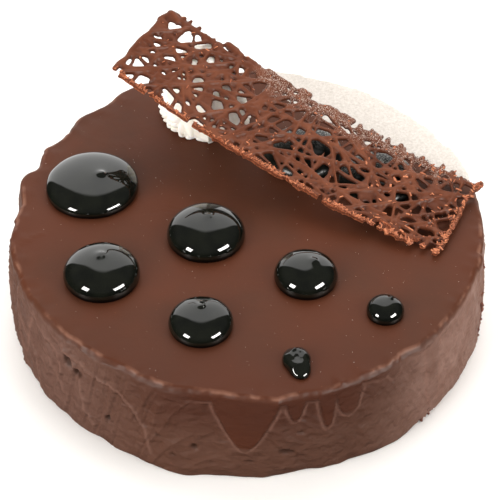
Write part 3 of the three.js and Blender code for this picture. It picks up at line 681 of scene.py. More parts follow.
def glaze_finish():
    look = Look("chocolate_glaze")
    x, y, z = (axis * (1 / MM) for axis in look.axes(look.place))
    drip, sugar, lip, bare, crest, edge, pit_shade = (
        look.value(name) for name in ("drip", "sugar", "lip", "bare", "crest", "edge", "pit_shade")
    )
    clouds = look.noise(42.0, 2.0, seed=1).step(0.36, 0.64)
    small = look.noise(10.0, 3.0, seed=2).step(0.3, 0.7)
    glaze = look.blend(clouds, dark(90, 48, 30), dark(84, 48, 32))
    glaze = look.blend(small * 0.30, glaze, dark(96, 53, 35))
    # painted shade: the glaze darkens towards the front, where the lamps' light falls off
    front = 1 - y.step(-118.0, -55.0)
    glaze = look.blend(front * 0.5, glaze, dark(76, 40, 26))
    # thin coat: pale partly of itself and partly as painted sheen, lighter at the left and the right where
    # the side lamps graze it
    thin = look.blend(small, dark(89, 58, 45), dark(94, 61, 47))
    thin = look.blend(1 - x.step(-98, -38), thin, look.blend(small, dark(102, 72, 61), dark(108, 78, 67)))
    thin = look.blend(x.step(52, 106), thin, look.blend(small, dark(134, 100, 87), dark(149, 116, 104)))
    # painted shade on the front drips, kept mostly to the left of the middle
    drip = drip * (1 - x.step(30, 70) * 0.85)
    beside = 1 - z.step(SHOULDER - 1.0, SHOULDER + 2.4)
    thin_coat = beside * (1 - drip)
    # painted shade: the front of the side darkens from about 18 mm up towards the rim
    under_rim = z.step(18.0, 47.0) * x.step(-70, -30) * (1 - x.step(30, 95)) * beside
    broken = look.noise(9.0, 2.0, 0.6, seed=13).step(0.42, 0.62)
    stretched = look.moved(stretch=(0.22, 1.0, 1.0), turn=STREAK_TILT)
    streaks = look.noise(3.2, 3.0, 0.6, seed=3, place=stretched)
    specks = (1 - look.grains(3.4).step(0.03, 0.08)) * look.noise(1.7, 0.0, seed=5).step(0.52, 0.62)
    colour = look.blend(thin_coat, glaze, thin)
    for share, shade in (
        # painted shade under the front rim
        (under_rim * 0.85, (76, 41, 28)),
        # painted shade on the front drips
        (drip * 0.16, (78, 40, 27)),
        (lip * 0.42, (140, 101, 87)),
        # painted highlight on the crests
        (crest.step(0.1, 0.95) * 0.32, (140, 104, 91)),
        # painted highlight: a broken pale line along the rim
        (edge * broken * 0.55, (158, 114, 95)),
        # painted shade in the pits
        (pit_shade.step(0.1, 0.95) * 0.8, (54, 32, 22)),
        (streaks.step(0.48, 0.70) * thin_coat * 0.12, (124, 92, 80)),
        (specks * 0.5, (164, 96, 66)),
    ):
        colour = look.blend(share, colour, dark(*shade))
    crumb = look.noise(1.3, 4.0, 0.7, seed=4).step(0.35, 0.65)
    colour = look.blend(bare, colour, look.blend(crumb, dark(84, 38, 24), dark(150, 78, 50)))
    satin = 0.40 + 0.08 * small + 0.08 * thin_coat - 0.04 * drip + 0.3 * bare
    normal = look.bump(look.noise(0.9, 2.0, seed=6) * 0.2 + streaks * beside * (1 - 0.7 * drip), 0.16)
    normal = look.bump(small, 0.06, before=normal)
    wavy = look.moved(stretch=(0.6, 0.8, 1.0), turn=STREAK_TILT)
    waves = look.noise(4.6, 1.0, 0.5, seed=12, place=wavy, warp=0.3)
    normal = look.bump(waves * beside * (1 - 0.6 * drip), 2.2, before=normal)
    normal = look.bump(crumb * bare, 0.6, before=normal)
    look.wear(Base_Color=colour, Roughness=satin, Normal=normal, Specular_IOR_Level=0.13)
    powder = look.node("ShaderNodeBsdfPrincipled")
    fine = look.noise(1.6, 5.0, 0.75, seed=8).step(0.3, 0.7)
    white = look.blend(fine, tone(198, 190, 182), tone(223, 217, 211))
    lumps = look.noise(0.55, 3.0, 0.7, seed=9) + look.noise(2.0, 2.0, seed=10)
    look.wear(
        powder.socket.node, Base_Color=white, Roughness=0.95, Specular_IOR_Level=0.1,
        Normal=look.bump(lumps, 0.35),
    )
    lying = (sugar * 1.45 + look.noise(0.62, 2.0, 0.85, seed=11) - 1.0).step(-0.08, 0.08)
    satin_shader = Amount(look, look.shader.outputs[0])
    mixed = look.node("ShaderNodeMixShader", {}, {0: lying, 1: satin_shader, 2: powder})
    look.feed(look.tree.nodes["Material Output"].inputs["Surface"], mixed)
    return look.material


# %% Build the cake
cake_points, cake_faces, cake_marks = cake_grid()
veil, drift = (sugar_cover(*cake_points.T[:2], spread=spread) for spread in (26.0, 8.0))
sugar_share = (0.72 * veil + 0.28 * drift) * smooth((cake_points[:, 2] - SHOULDER + 4) / 6)
cake_piece = put_mesh(
    "glazed_cake", cake_points, cake_faces, glaze_finish(), sugar=sugar_share, **cake_marks
)
adopt(cake_piece, "chocolate_glaze", "cake_body")

# %% [markdown]
# ## The black drops
# Each drop is a blob of glossy filling squeezed from a bag. It sits wider than its foot, so a
# dark line runs under it, deepened with painted shade below the widest circle. The bag leaves a
# small bent peak when it is pulled away. The surface is a grid of turn and rise over the same
# squat egg shape as the solid.

# %% Sizes of the drops
DROP_FOOT = HEIGHT + 0.3
WIDEST_AT = 0.17
# x, y, radius, height, then the peak: away from the middle x, y, height, width, lean x, y
DROPS = [
    (-82.0, 22.3, 24.5, 10.5, 4.9, -0.5, 1.9, 5.2, 1.6, -0.4),
    (-72.7, -42.4, 19.2, 12.3, -0.4, 1.6, 1.6, 7.0, 1.2, 0.8),
    (-21.5, -14.0, 20.0, 12.8, 1.4, 1.0, 1.1, 5.2, 0.8, 1.0),
    (-22.5, -75.3, 15.8, 9.6, -0.3, 3.8, 1.8, 4.6, 1.8, -1.2),
    (28.8, -43.6, 15.9, 11.6, 3.4, 0.4, 1.1, 5.0, 1.4, 0.3),
    (67.0, -67.1, 9.3, 7.8, 2.4, 2.2, 0.8, 2.2, 1.0, 0.8),
    (23.2, -98.6, 6.9, 5.6, -1.2, 2.2, 0.7, 2.0, 0.4, 0.6),
    (30.1, 46.9, 21.3, 11.5, 0.0, 2.0, 0.9, 4.0, 1.0, 0.5),
    (68.7, 27.7, 20.6, 8.8, 1.0, 1.0, 0.6, 4.0, 0.8, 0.4),
]
UNDER_PANEL = (7, 8)
TAIL = dict(drop=6, x=1.8, y=-7.4, radius=4.9)
SQUATNESS = {0: 2.12, 1: 2.1, 3: 2.1}  # 2 is an ellipse; more gives a flatter top, steeper sides
DROP_ROWS, DROP_AROUND = 44, 112


def drop_grid(index):
    """Rings by turn and rise, from the foot, under the widest circle, up to the top: height =
    middle + half height * sin(rise) ^ p, reach = radius * cos(rise) ^ p, p = 2 / squatness."""
    x0, y0, radius, height, peak_x, peak_y, peak, wide, lean_x, lean_y = DROPS[index]
    middle = WIDEST_AT * height
    semi = height - middle
    power = 2 / SQUATNESS.get(index, 2.0)
    lowest = -math.asin((middle / semi) ** (1 / power))
    rise, turn = ring_grid(
        np.linspace(lowest, math.pi / 2, DROP_ROWS + 1)[:-1], full_turn(DROP_AROUND)
    )
    reach = np.full_like(turn, radius)
    if index == TAIL["drop"]:
        toward = np.cos(turn - math.atan2(TAIL["y"], TAIL["x"]))
        tail_reach = math.hypot(TAIL["x"], TAIL["y"]) + TAIL["radius"]
        reach += (tail_reach - radius) * np.clip(toward, 0, None) ** 5
    around = points_at(np.cos(turn), np.sin(turn), rise * 0.3)
    reach *= 1 + layers(around, [(0.012, 0.9, 50 + index), (0.006, 0.35, 60 + index)])
    x = reach * np.cos(rise) ** power * np.cos(turn)
    y = reach * np.cos(rise) ** power * np.sin(turn)
    z = middle + semi * np.sign(rise) * np.abs(np.sin(rise)) ** power
    points = np.concatenate([points_at(x, y, z), [[0, 0, 0], [0, 0, height]]])
    up = smooth((points[:, 2] - middle) / semi * 1.5)
    away = np.hypot(points[:, 0] - peak_x, points[:, 1] - peak_y) / wide
    points[:, 2] += up * peak * (bell(away / 1.1) * 0.25 + bell(away / 0.42) * 0.6)
    points[:, :2] += (up * 0.7 * bell(away / 0.45))[:, None] * [lean_x, lean_y]
    if index == TAIL["drop"]:
        points[:, 2] += up * layers(points, [(0.55, 3.4, 71), (0.22, 1.9, 72)])
    points[:, 2] += up * 0.10 * mottle(points, radius * 0.6, 80 + index)
    return points + [x0, y0, DROP_FOOT]


# %% [markdown]
# The filling is almost black with a little bottle green in it, polished by its own syrup: the
# body's own gloss and a clear coat. Drops under the panel caught some of the sifted sugar.

# %% Finish of the drops
def drop_finish(name, sugared):
    look = Look(name)
    depth = look.noise(7.0, 2.0, seed=20).step(0.35, 0.65)
    skirt = look.value("skirt")
    colour = look.blend(depth, dark(13, 15, 11), dark(20, 22, 16))
    # painted shade: below its widest circle the drop turns near black, and its clear coat fades there
    colour = look.blend(skirt, colour, dark(5, 5, 4))
    normal = look.bump(look.noise(3.2, 2.0, seed=21) + look.noise(9.0, 1.0, seed=22) * 2.0, 0.05)
    if sugared:
        flecks = look.noise(0.8, 2.0, 0.7, seed=23).step(0.50, 0.60) * look.value("sugar") * 0.7
        colour = look.blend(flecks, colour, tone(226, 222, 214))
        gloss = 0.30 + 0.03 * depth + flecks * 0.7
        coat = (1 - flecks) * 0.15
    else:
        gloss = 0.05 + 0.03 * depth
        coat = 1 - skirt * 0.95
    look.wear(Base_Color=colour, Roughness=gloss, Normal=normal, Specular_IOR_Level=0.16)
    return look.wear(Coat_Weight=coat, Coat_Roughness=0.02)


# %% Build the drops
plain_black = drop_finish("black_drop", False)
sugared_black = drop_finish("black_drop_sugared", True)
for index, (_, y, radius, height, *_) in enumerate(DROPS):
    drop_points = drop_grid(index)
    far_side = smooth((drop_points[:, 1] - y) / radius + 0.3)
    # share of painted shade at the foot of the drop
    skirt = smooth((WIDEST_AT + 0.09 - (drop_points[:, 2] - DROP_FOOT) / height) / 0.12)
    black = sugared_black if index in UNDER_PANEL else plain_black
    piece = put_mesh(
        f"black_drop_{index + 1}", drop_points, tube_faces(DROP_ROWS, DROP_AROUND), black,
        sugar=far_side, skirt=skirt,
    )
    adopt(piece, "black_drop", f"glaze_drop_{index + 1}")

# %% [markdown]
# ## The chocolate lattice
# The panel was drizzled on a flat sheet, cut to a strip before it set, and left to bend. So it is
# built flat too: every strand is a half round run with a flat back. A voxel remesh melts them
# into one skin, smoothing rounds it as warm chocolate does, and then the sheet is bent.

# %% Sizes of the lattice
LATTICE_SEED = 59
# direction, distance apart, spread of direction, spread of place, where along the panel it begins
SWEEPS = [
    (58, 11.5, 18, 4, 0), (95, 12.5, 13, 5, 0), (14, 11, 15, 4, 0), (150, 12, 17, 4, 0),
    (122, 13, 16, 4, 100),
]
STRAND_WIDTH = (2.2, 3.6)
SHORTEST_STRAND = 7
RAGGED_END = 3
NEAR_RUN = dict(start=42, length=(13, 30), gap=(2, 6), inset=1.4)
FAR_BAND = dict(inset=(4.5, 9.5), length=(9, 16), width=(3.0, 4.6))
TEETH = dict(inset=(0.6, 5.0), root=10, lean=3, apart=(4, 10), width=(2.6, 5.0))
END_INSET, END_SLANT = 1.6, 2
STRAY_POOLS = 8
STRAY_RADIUS = (2.6, 5.2)
POOLS = [
    (189, 25, 5.5), (185, 12, 5), (168, 2, 4), (151, 14, 5), (147, -11, 6), (139, 25, 6), (131, 24, 5),
    (121, 16, 6.5), (107, -19, 4.5), (96, 25, 5), (84, 26, 5), (62, 26, 5), (49, -14, 5.5), (24, 22, 5),
    (15, 0, 4.5), (11, -12, 4),
]


def clip_to_panel(u, v, du, dv, left):
    """Part of the line through (u, v) that lies inside the strip, less the broken far edge."""
    start, end = -1e6, 1e6
    far = HALF_WIDTH - FAR_BAND["inset"][0]
    for slope, low, high in ((du, left - u, PANEL_LENGTH - u), (dv, -HALF_WIDTH - v, far - v)):
        start = max(start, min(low / slope, high / slope))
        end = min(end, max(low / slope, high / slope))
    return start, end


def lattice_strands():
    """The drizzle as (u0, v0, u1, v1, width, kind): sweeps of parallel lines, each line a little off
    in place and direction, then the near run, the far band, the teeth and the two ends."""
    draw = number_stream(LATTICE_SEED)
    length, half = PANEL_LENGTH, HALF_WIDTH
    strands = []
    for layer, (sweep, spacing, angle_spread, offset_spread, left) in enumerate(SWEEPS):
        normal = math.radians(sweep + 90)
        reach = (length * abs(math.cos(normal)) + PANEL_WIDTH * abs(math.sin(normal))) / 2
        for line in range(int(2 * reach // spacing)):
            offset = -reach + (line + 0.5) * spacing + (next(draw) * 2 - 1) * offset_spread
            direction = math.radians(sweep + (next(draw) * 2 - 1) * angle_spread)
            thick = between(STRAND_WIDTH, next(draw))
            stop_start, stop_end = next(draw) * RAGGED_END, next(draw) * RAGGED_END
            u, v = length / 2 + offset * math.cos(normal), offset * math.sin(normal)
            du, dv = math.cos(direction), math.sin(direction)
            start, end = clip_to_panel(u, v, du, dv, left)
            start, end = start + stop_start, end - stop_end
            if end - start > SHORTEST_STRAND:
                strands.append((u + du * start, v + dv * start, u + du * end, v + dv * end, thick, layer))
    u = NEAR_RUN["start"]
    while u < length - 8:
        end = min(u + between(NEAR_RUN["length"], next(draw)), length - 1.5)
        v0, v1 = (NEAR_RUN["inset"] * (0.7 + 0.6 * next(draw)) - half for _ in range(2))
        strands.append((u, v0, end, v1, between(STRAND_WIDTH, next(draw)), "near"))
        u = end + between(NEAR_RUN["gap"], next(draw))
    u, band_v = 1.5, half - between(FAR_BAND["inset"], 0.5)
    while u < length - 4:
        end = min(u + between(FAR_BAND["length"], next(draw)), length - 1.5)
        next_v = half - between(FAR_BAND["inset"], next(draw))
        strands.append((u, band_v, end, next_v, between(FAR_BAND["width"], next(draw)), "far"))
        u, band_v = end, next_v
    for side, u, stop in ((1, 2.5, length - 2.5), (-1, 3, NEAR_RUN["start"])):
        while u < stop:
            lean = (next(draw) * 2 - 1) * TEETH["lean"]
            tip = half - between(TEETH["inset"], next(draw))
            thick = between(TEETH["width"], next(draw))
            strands.append((u, side * (half - TEETH["root"]), u + lean, side * tip, thick, "tooth"))
            u += between(TEETH["apart"], next(draw))
    for u, slant in ((END_INSET, 0), (length - END_INSET, END_SLANT)):
        reach = half - 1.5
        strands.append((u + slant, -reach, u, reach - 4, between(STRAND_WIDTH, next(draw)), "end"))
    pools = list(POOLS)
    for _ in range(STRAY_POOLS):
        u = 6 + (length - 12) * next(draw)
        v = (half - 8) * (2 * next(draw) - 1)
        pools.append((u, v, between(STRAY_RADIUS, next(draw))))
    return strands, pools


# %% Strands and pools as solids
STRAND_STEP = 1.1
STRAND_SIDES = 14
SLIMNESS = (0.72, 0.84)  # of the solid's strands, at the low and at the high part of the panel
EDGE_SLIMNESS = 0.9
CUT_LINE = 4.5 - HALF_WIDTH  # what ends nearer than this was cut
SWAY, SWELL = 0.75, 0.18  # mm that a strand wavers sideways, share that it swells and thins
WAVER = {"thread": 16.0, "end": 6.0}  # length in mm of an extra waver, WAVER_REACH to the sides
WAVER_REACH = 1.1
EDGE_RUNS = ("near", "end")
SQUARE_EDGE, ROUND_TOP = 0.45, 0.9  # powers of the section: 1 is a half circle, less is squarer
LOWEST_LAYER, LAYER_STEP = 1.25, 0.36  # mm: the first sweep lies lowest, each next one higher
WIDTH_RISE = 0.12  # and wide strands stand higher by this share of their width
# height of the dome over the flat back in mm
RISE = {"thread": 2.9, "near": 2.5, "end": 2.5, "far": 2.3, "tooth": 2.3}
HIGHEST_RISE = 3.2
THREADS = dict(count=70, width=(1.7, 2.4), low_reach=(8, 30), high_reach=(5, 16))
# short strands: how many, from where to where along their edge, then ranges in mm that each draws
# from: tip from the edge, length, lean, width
BURRS = dict(
    count=12, where=(4, PANEL_LENGTH - 3), tip=(0.0, 3.4), long=(5, 8), lean=(-2, 2), wide=(2.2, 4.4)
)
BLOCKS = dict(
    count=13, where=(6, PANEL_LENGTH - 14), tip=(1.6, 3.4), long=(6, 12), lean=(-1, 1), wide=(3.6, 5.6)
)
END_BURRS = dict(
    count=14, where=(4 - HALF_WIDTH, HALF_WIDTH - 4), tip=(-2.0, 1.2), long=(4, 8), lean=(-2, 2),
    wide=(2.4, 4.8),
)
POOL_SHARE = 0.76
POOL_AROUND, POOL_ROWS = 28, 9
random = np.random.default_rng(7)


def strand_solid(strand, number):
    """A run of chocolate: a half round section (flat back, domed top) carried along the line, which
    wavers a little sideways, swells and thins, and sinks at both ends. A cut end stays blunt."""
    u0, v0, u1, v1, thick, kind = strand
    length = math.hypot(u1 - u0, v1 - v0)
    count = max(6, int(length / STRAND_STEP))
    t = np.linspace(0, 1, count)
    seeded = points_at(t * length, t * 0 + number * 7.3)
    hold = (smooth(t * 6) if v0 > CUT_LINE else 1) * (smooth((1 - t) * 6) if v1 > CUT_LINE else 1)
    sway = SWAY * mottle(seeded, 9.0, 90) * hold
    along = np.array([u1 - u0, v1 - v0]) / length
    side = np.array([-along[1], along[0]])
    middle = np.array([u0, v0]) + np.outer(t * length, along) + np.outer(sway, side)
    if kind in WAVER:
        middle += np.outer(WAVER_REACH * mottle(seeded, WAVER[kind], 93), side)
    layered = isinstance(kind, int)
    slim = EDGE_SLIMNESS
    if layered or kind == "thread":
        slim = between(SLIMNESS, smooth((middle[:, 0] - 70) / 60))
    half = thick / 2 * slim * (1 + SWELL * mottle(seeded, 6.0, 91)) * (0.55 + 0.45 * np.sqrt(hold))
    squareness = SQUARE_EDGE if kind in EDGE_RUNS else ROUND_TOP
    rise = RISE[kind] if not layered else LOWEST_LAYER + LAYER_STEP * kind + WIDTH_RISE * thick
    rise = np.minimum(rise * (0.7 + 0.3 * hold) + 0.3 * mottle(seeded, 7.0, 92), HIGHEST_RISE)
    round_by = np.linspace(0, np.pi, STRAND_SIDES)
    across = np.sign(np.cos(round_by)) * np.abs(np.cos(round_by)) ** squareness
    up = np.abs(np.sin(round_by)) ** squareness
    sideways = middle[:, None, :] + (half[:, None] * across)[:, :, None] * side
    tall = BACK + rise[:, None] * up
    rings = np.concatenate([sideways, tall[:, :, None]], 2).reshape(-1, 3)
    poles = np.array([[*middle[0], BACK + rise[0] * 0.4], [*middle[-1], BACK + rise[-1] * 0.4]])
    return np.concatenate([rings, poles]), tube_faces(count, STRAND_SIDES)


def stubs(kind):
    """A row of short strands: (place along the edge, tip, length, lean, width) of each."""
    for place in random.uniform(*kind["where"], kind["count"]):
        yield (place, *(random.uniform(*kind[key]) for key in ("tip", "long", "lean", "wide")))


def thread_strands():
    """Thin threads that fell last, on top of the sweeps: long and straight over the low half of the
    panel, short and crossing over the high half. Then burrs and blocks at the broken edges."""
    threads = []
    for _ in range(THREADS["count"]):
        share = random.random()
        u = 3 + (PANEL_LENGTH - 6) * share
        v = random.uniform(-HALF_WIDTH + 2, HALF_WIDTH - 6)
        sweep = SWEEPS[random.choice((0, 1, 2, 3) if share < 0.5 else (0, 1, 4))]
        direction = math.radians(sweep[0] + random.uniform(-1, 1) * sweep[2])
        reach = random.uniform(*THREADS["low_reach" if share < 0.5 else "high_reach"])
        du, dv = math.cos(direction), math.sin(direction)
        start, end = clip_to_panel(u, v, du, dv, 0)
        start, end = max(start + 1, -reach), min(end - 1, reach)
        if end - start > SHORTEST_STRAND:
            thick = random.uniform(*THREADS["width"])
            threads.append((u + du * start, v + dv * start, u + du * end, v + dv * end, thick, "thread"))
    for u, tip, long, lean, wide in stubs(BURRS):
        threads.append((u, HALF_WIDTH - tip - long, u + lean, HALF_WIDTH - tip, wide, "far"))
    for u, tip, long, lean, wide in stubs(BLOCKS):
        threads.append((u, HALF_WIDTH - tip, u + long, HALF_WIDTH - tip + lean, wide, "far"))
    for v, tip, long, lean, wide in stubs(END_BURRS):
        threads.append((PANEL_LENGTH + tip - long, v, PANEL_LENGTH + tip, v + lean, wide, "far"))
    return threads


def pool_solid(pool):
    """A flooded patch: rings of one three-cornered outline, a thin lens with a flat back."""
    u, v, radius = pool
    turn = full_turn(POOL_AROUND)
    outline = radius * POOL_SHARE * (1 + 0.14 * np.sin(3 * turn + u))
    rise = np.linspace(0, np.pi / 2, POOL_ROWS)[:-1]
    reach = np.r_[1, np.cos(rise) ** 0.6]
    tall = BACK + 0.4 + 1.2 * np.sin(rise)
    x = u + np.outer(reach, outline * np.cos(turn))
    y = v + np.outer(reach, outline * np.sin(turn))
    z = np.outer(np.r_[BACK, tall], np.ones(POOL_AROUND))
    poles = [[u, v, BACK], [u, v, BACK + 1.6]]
    rings = points_at(x.ravel(), y.ravel(), z.ravel())
    return np.concatenate([rings, poles]), tube_faces(POOL_ROWS, POOL_AROUND)


# %% Melt them together and bend the sheet
VOXEL = 0.58
WEBBING = 0.12  # crevices narrower than twice this fill up, as they do while the chocolate is warm
SMOOTHING = 2


def bend(flat):
    """Flat (u, v, w) to its place on the cake: u runs along an arc that starts at the low end and
    climbs, v runs across with a small tilt, and w stands on the arc."""
    u, v, w = flat.T
    turn = START_SLOPE + u / BEND_RADIUS
    forward = BEND_RADIUS * (np.sin(turn) - math.sin(START_SLOPE)) - w * np.sin(turn)
    up = BEND_RADIUS * (math.cos(START_SLOPE) - np.cos(turn)) + w * np.cos(turn)
    cross = v * math.cos(CROSS_TILT)
    return points_at(
        LOW_END[0] + forward * math.cos(HEADING) + cross * math.sin(HEADING),
        LOW_END[1] + forward * math.sin(HEADING) - cross * math.cos(HEADING),
        LOW_END[2] + up + v * math.sin(CROSS_TILT),
    )


def join_solids(solids):
    """Many closed solids as one list of points and faces."""
    starts = np.cumsum([0] + [len(points) for points, _ in solids[:-1]])
    faces = [f + start for (_, f), start in zip(solids, starts)]
    return np.concatenate([points for points, _ in solids]), np.concatenate(faces)


def read_out(rows, name, width, kind=np.float32):
    """One property of all rows of a mesh as an array with this many columns."""
    values = np.zeros(len(rows) * width, kind)
    rows.foreach_get(name, values)
    return values.reshape(-1, width)


def melt(points, faces):
    """Voxel remesh, then swell, remesh and shrink again to fill the crevices, then smoothing:
    returns the points, normals and quads of the skin, still flat."""
    loose = put_mesh("melting", points, faces, None)
    for swell in (WEBBING, -WEBBING):
        remesh = loose.modifiers.new("melt", "REMESH")
        remesh.mode = "VOXEL"
        remesh.voxel_size = VOXEL * MM
        push = loose.modifiers.new("push", "DISPLACE")
        push.mid_level = 0
        push.strength = swell * MM
    ease = loose.modifiers.new("ease", "SMOOTH")
    ease.factor = 0.5
    ease.iterations = SMOOTHING
    skin = bpy.data.meshes.new_from_object(loose.evaluated_get(bpy.context.evaluated_depsgraph_get()))
    skin_points = read_out(skin.vertices, "co", 3) / MM
    facing = read_out(skin.vertex_normals, "vector", 3)
    quads = read_out(skin.loops, "vertex_index", 1, np.int32).reshape(-1, 4)
    bpy.data.objects.remove(loose)
    bpy.data.meshes.remove(skin)
    return skin_points, facing, quads


strands, pools = lattice_strands()
strands += thread_strands()
lattice_solids = [strand_solid(s, i) for i, s in enumerate(strands)] + [pool_solid(p) for p in pools]
sheet_points, sheet_normals, sheet_faces = melt(*join_solids(lattice_solids))
print("lattice:", len(strands), "strands,", len(pools), "pools,", len(sheet_faces), "quads after melting")

# %% [markdown]
# The near long edge and the right end were cut when the chocolate had just set, so they show the
# paler, redder inside, rough and crumbly, with a dark line in the middle of the thickness. Specks
# of the sifted sugar lie on the far strip of the top.

# %% Marks on the sheet and the finish of the lattice
CUT_REACH = (2.7, 6.7)  # mm from the near edge, where the near run is and where only teeth are


def lattice_marks(points, normals):
    """(fresh cut, dark core, sugar, height over the back that sets the painted shade in the crevices), each
    0..1.
    """
    u, v, w = points.T
    near_edge = -v - HALF_WIDTH
    ragged = mottle(points, 2.4, 95) * 0.5 + mottle(points, 1.1, 96) * 0.4
    reach = between(CUT_REACH, smooth((NEAR_RUN["start"] - u) / 4))
    near = smooth((near_edge + reach) / 1.2) * smooth((-normals[:, 1] - 0.2) / 0.3)
    burr = smooth((near_edge + 2.2) / 1.2) * smooth((w - 0.5) / 0.8) * smooth(ragged + 0.3)
    right = smooth((3.4 - u) / 1.5) * smooth((-normals[:, 0] - 0.2) / 0.4) * smooth(ragged + 0.6)
    cut = np.clip(near * (0.8 + 0.55 * ragged) + burr * 0.55 + right * 0.4, 0, 1)
    core = near * bell((w - 0.2 + 0.6 * ragged) / 0.55)
    upward = smooth(normals[:, 2] * 1.6 - 0.3)
    lying = upward * smooth((v - 10) / 14) * smooth((u - 12) / 12) * smooth((140 - u) / 16)
    return cut, core, lying, smooth((w + 1.1) / 2.3)


top_side = sheet_normals[:, 2] > 0
sheet_points[:, 2] += (0.10 * mottle(sheet_points, 3.4, 97) + 0.05 * mottle(sheet_points, 1.6, 98)) * top_side
fresh_cut, dark_core, sifted, crevice_shade_height = lattice_marks(sheet_points, sheet_normals)
sheet_points[:, 1] -= fresh_cut * (sheet_normals[:, 1] < 0) * (0.15 + 0.40 * mottle(sheet_points, 1.3, 99))


def lattice_finish():
    look = Look("lattice_chocolate")
    cut = look.value("cut")
    clouds = look.noise(11.0, 3.0, seed=30).step(0.35, 0.65)
    colour = look.blend(clouds, dark(106, 58, 38), dark(124, 71, 48))
    # painted shade: the low parts between the strands are darker
    colour = look.blend(look.value("high"), dark(84, 44, 29), colour)
    crumb = look.noise(0.7, 3.0, 0.75, seed=31).step(0.35, 0.65)
    orange = look.blend(crumb, dark(140, 66, 36), dark(220, 130, 88))
    orange = look.blend(look.value("core") * 0.8, orange, dark(84, 36, 20))
    colour = look.blend(cut.step(0.22, 0.5), colour, orange)
    flecks = look.noise(0.6, 2.0, 0.8, seed=32).step(0.54, 0.60) * look.value("sugar")
    colour = look.blend(flecks * 0.85, colour, dark(206, 186, 172))
    rough = 0.38 + 0.10 * clouds + 0.35 * cut.step(0.2, 0.6)
    normal = look.bump(crumb * cut, 0.5)
    normal = look.bump(look.noise(1.3, 3.0, seed=33) + flecks, 0.06, before=normal)
    return look.wear(Base_Color=colour, Roughness=rough, Normal=normal, Specular_IOR_Level=0.14)


lattice_piece = put_mesh(
    "drizzled_lattice", bend(sheet_points), sheet_faces[:, ::-1], lattice_finish(),
    cut=fresh_cut, core=dark_core, sugar=sifted, high=crevice_shade_height,
)
adopt(lattice_piece, "lattice_chocolate", "chocolate_lattice")

# %% [markdown]
# ## The cream
# One mound of whipped cream, piped with a star nozzle, holds up the high end of the panel. Its
# foot is ruffled where the ridges of the nozzle were pinched. Above the ruffles it is smooth, and
# the flank towards the viewer is the smoothest part.

# %% Cream surface
CREAM = dict(x=-24.0, y=82.0, height=44.0, foot_scale=0.97, ridges=27, ruffles=13)
# direction in degrees and reach in mm of the foot
CREAM_FOOT = [
    (-173, 22.6), (-155, 20.8), (-145, 21.6), (-131, 20.4), (-121, 21.3), (-111, 21.3), (-105, 20.8),
    (-95, 22.0), (-84, 25.1), (-78, 22.6), (-72, 21.0), (-55, 22.6), (-28, 25.6), (0, 23.6), (30, 21.0),
    (62, 20.0), (90, 20.6), (120, 23.4), (152, 25.4), (176, 23.7),
]
CREAM_ROWS, CREAM_AROUND = 96, 400
FLANK = dict(middle=-76, half=37, fade=8)  # degrees: the smooth side
BAND_END = -105  # degrees: the ruffled band narrows towards the flank and ends there
BAND = dict(least=0.01, left=0.15, back=0.10)  # how far up the mound the ruffles reach, as shares
RUFFLE_DEPTH, RUFFLE_UNEVEN = 0.095, 0.03  # shares of the reach
SET_BACK = 2.4  # mm that the smooth part lies behind the ruffles
CREAM_SHAKE = 0.30
PANEL_GAP = 0.3


def panel_underside(x, y):
    """Height of the sheet's back over a place on the cake."""
    run, cross = along_panel(x, y)
    turn = np.arcsin(run / BEND_RADIUS + math.sin(START_SLOPE))
    rise = BEND_RADIUS * (math.cos(START_SLOPE) - np.cos(turn))
    return LOW_END[2] + rise + cross * math.tan(CROSS_TILT) + BACK / np.cos(turn)


def cream_grid():
    """Reach = outline of the foot * taper of the dome * (1 + ruffles), set back over the ruffles."""
    share, turn = ring_grid(np.linspace(0, 0.93, CREAM_ROWS), full_turn(CREAM_AROUND))
    degrees = np.degrees(turn)
    outline = np.interp(degrees, *np.array(CREAM_FOOT).T, period=360)
    taper = np.sqrt(1 - (0.9 * share) ** 2)
    taper = np.where(share < 0.05, between((CREAM["foot_scale"], taper), share / 0.05), taper)
    flank = smooth((FLANK["half"] - np.abs(apart(degrees, FLANK["middle"]))) / FLANK["fade"])
    slant = CREAM["ridges"] * turn + 3.0 * np.sin(4.1 * share + 1.3 * np.sin(2 * turn))
    row = 2 * np.pi * CREAM["ruffles"] * share + 1.6 * np.sin(slant * 0.5 + 0.7) + 0.9 * np.sin(3 * turn)
    lobe = sum(np.abs(np.cos(wave / 2)) ** 0.6 - 0.5 for wave in (slant, row))
    past = apart(degrees, BAND_END)
    band = BAND["least"] + BAND["left"] * smooth(-past / 38) + BAND["back"] * smooth((past - 60) / 30)
    uneven = mottle(points_at(turn * 22, share * 44), 6.0, 100)
    fading = 0.08 + 0.92 * smooth(1.7 - share / band)
    lobe = (lobe * RUFFLE_DEPTH + uneven * RUFFLE_UNEVEN) * fading
    away = np.abs(apart(degrees, -160))
    set_back = SET_BACK * smooth((share - band) / 0.06) * smooth(-past / 25) * smooth((130 - away) / 30)
    reach = outline * taper * (1 + lobe) - set_back
    points = points_at(reach * np.cos(turn), reach * np.sin(turn), share * CREAM["height"])
    points += [CREAM["x"], CREAM["y"], DROP_FOOT]
    shake = points_at(*(mottle(points, 3.0, seed) for seed in (101, 102, 103)))
    points += CREAM_SHAKE * (1 - 0.8 * flank)[:, None] * shake
    poles = [[CREAM["x"], CREAM["y"], DROP_FOOT], [CREAM["x"], CREAM["y"], 2 * HEIGHT]]
    points = np.concatenate([points, poles])
    ceiling = panel_underside(points[:, 0], points[:, 1]) - PANEL_GAP
    points[:, 2] = np.clip(points[:, 2], DROP_FOOT, ceiling)
    return points


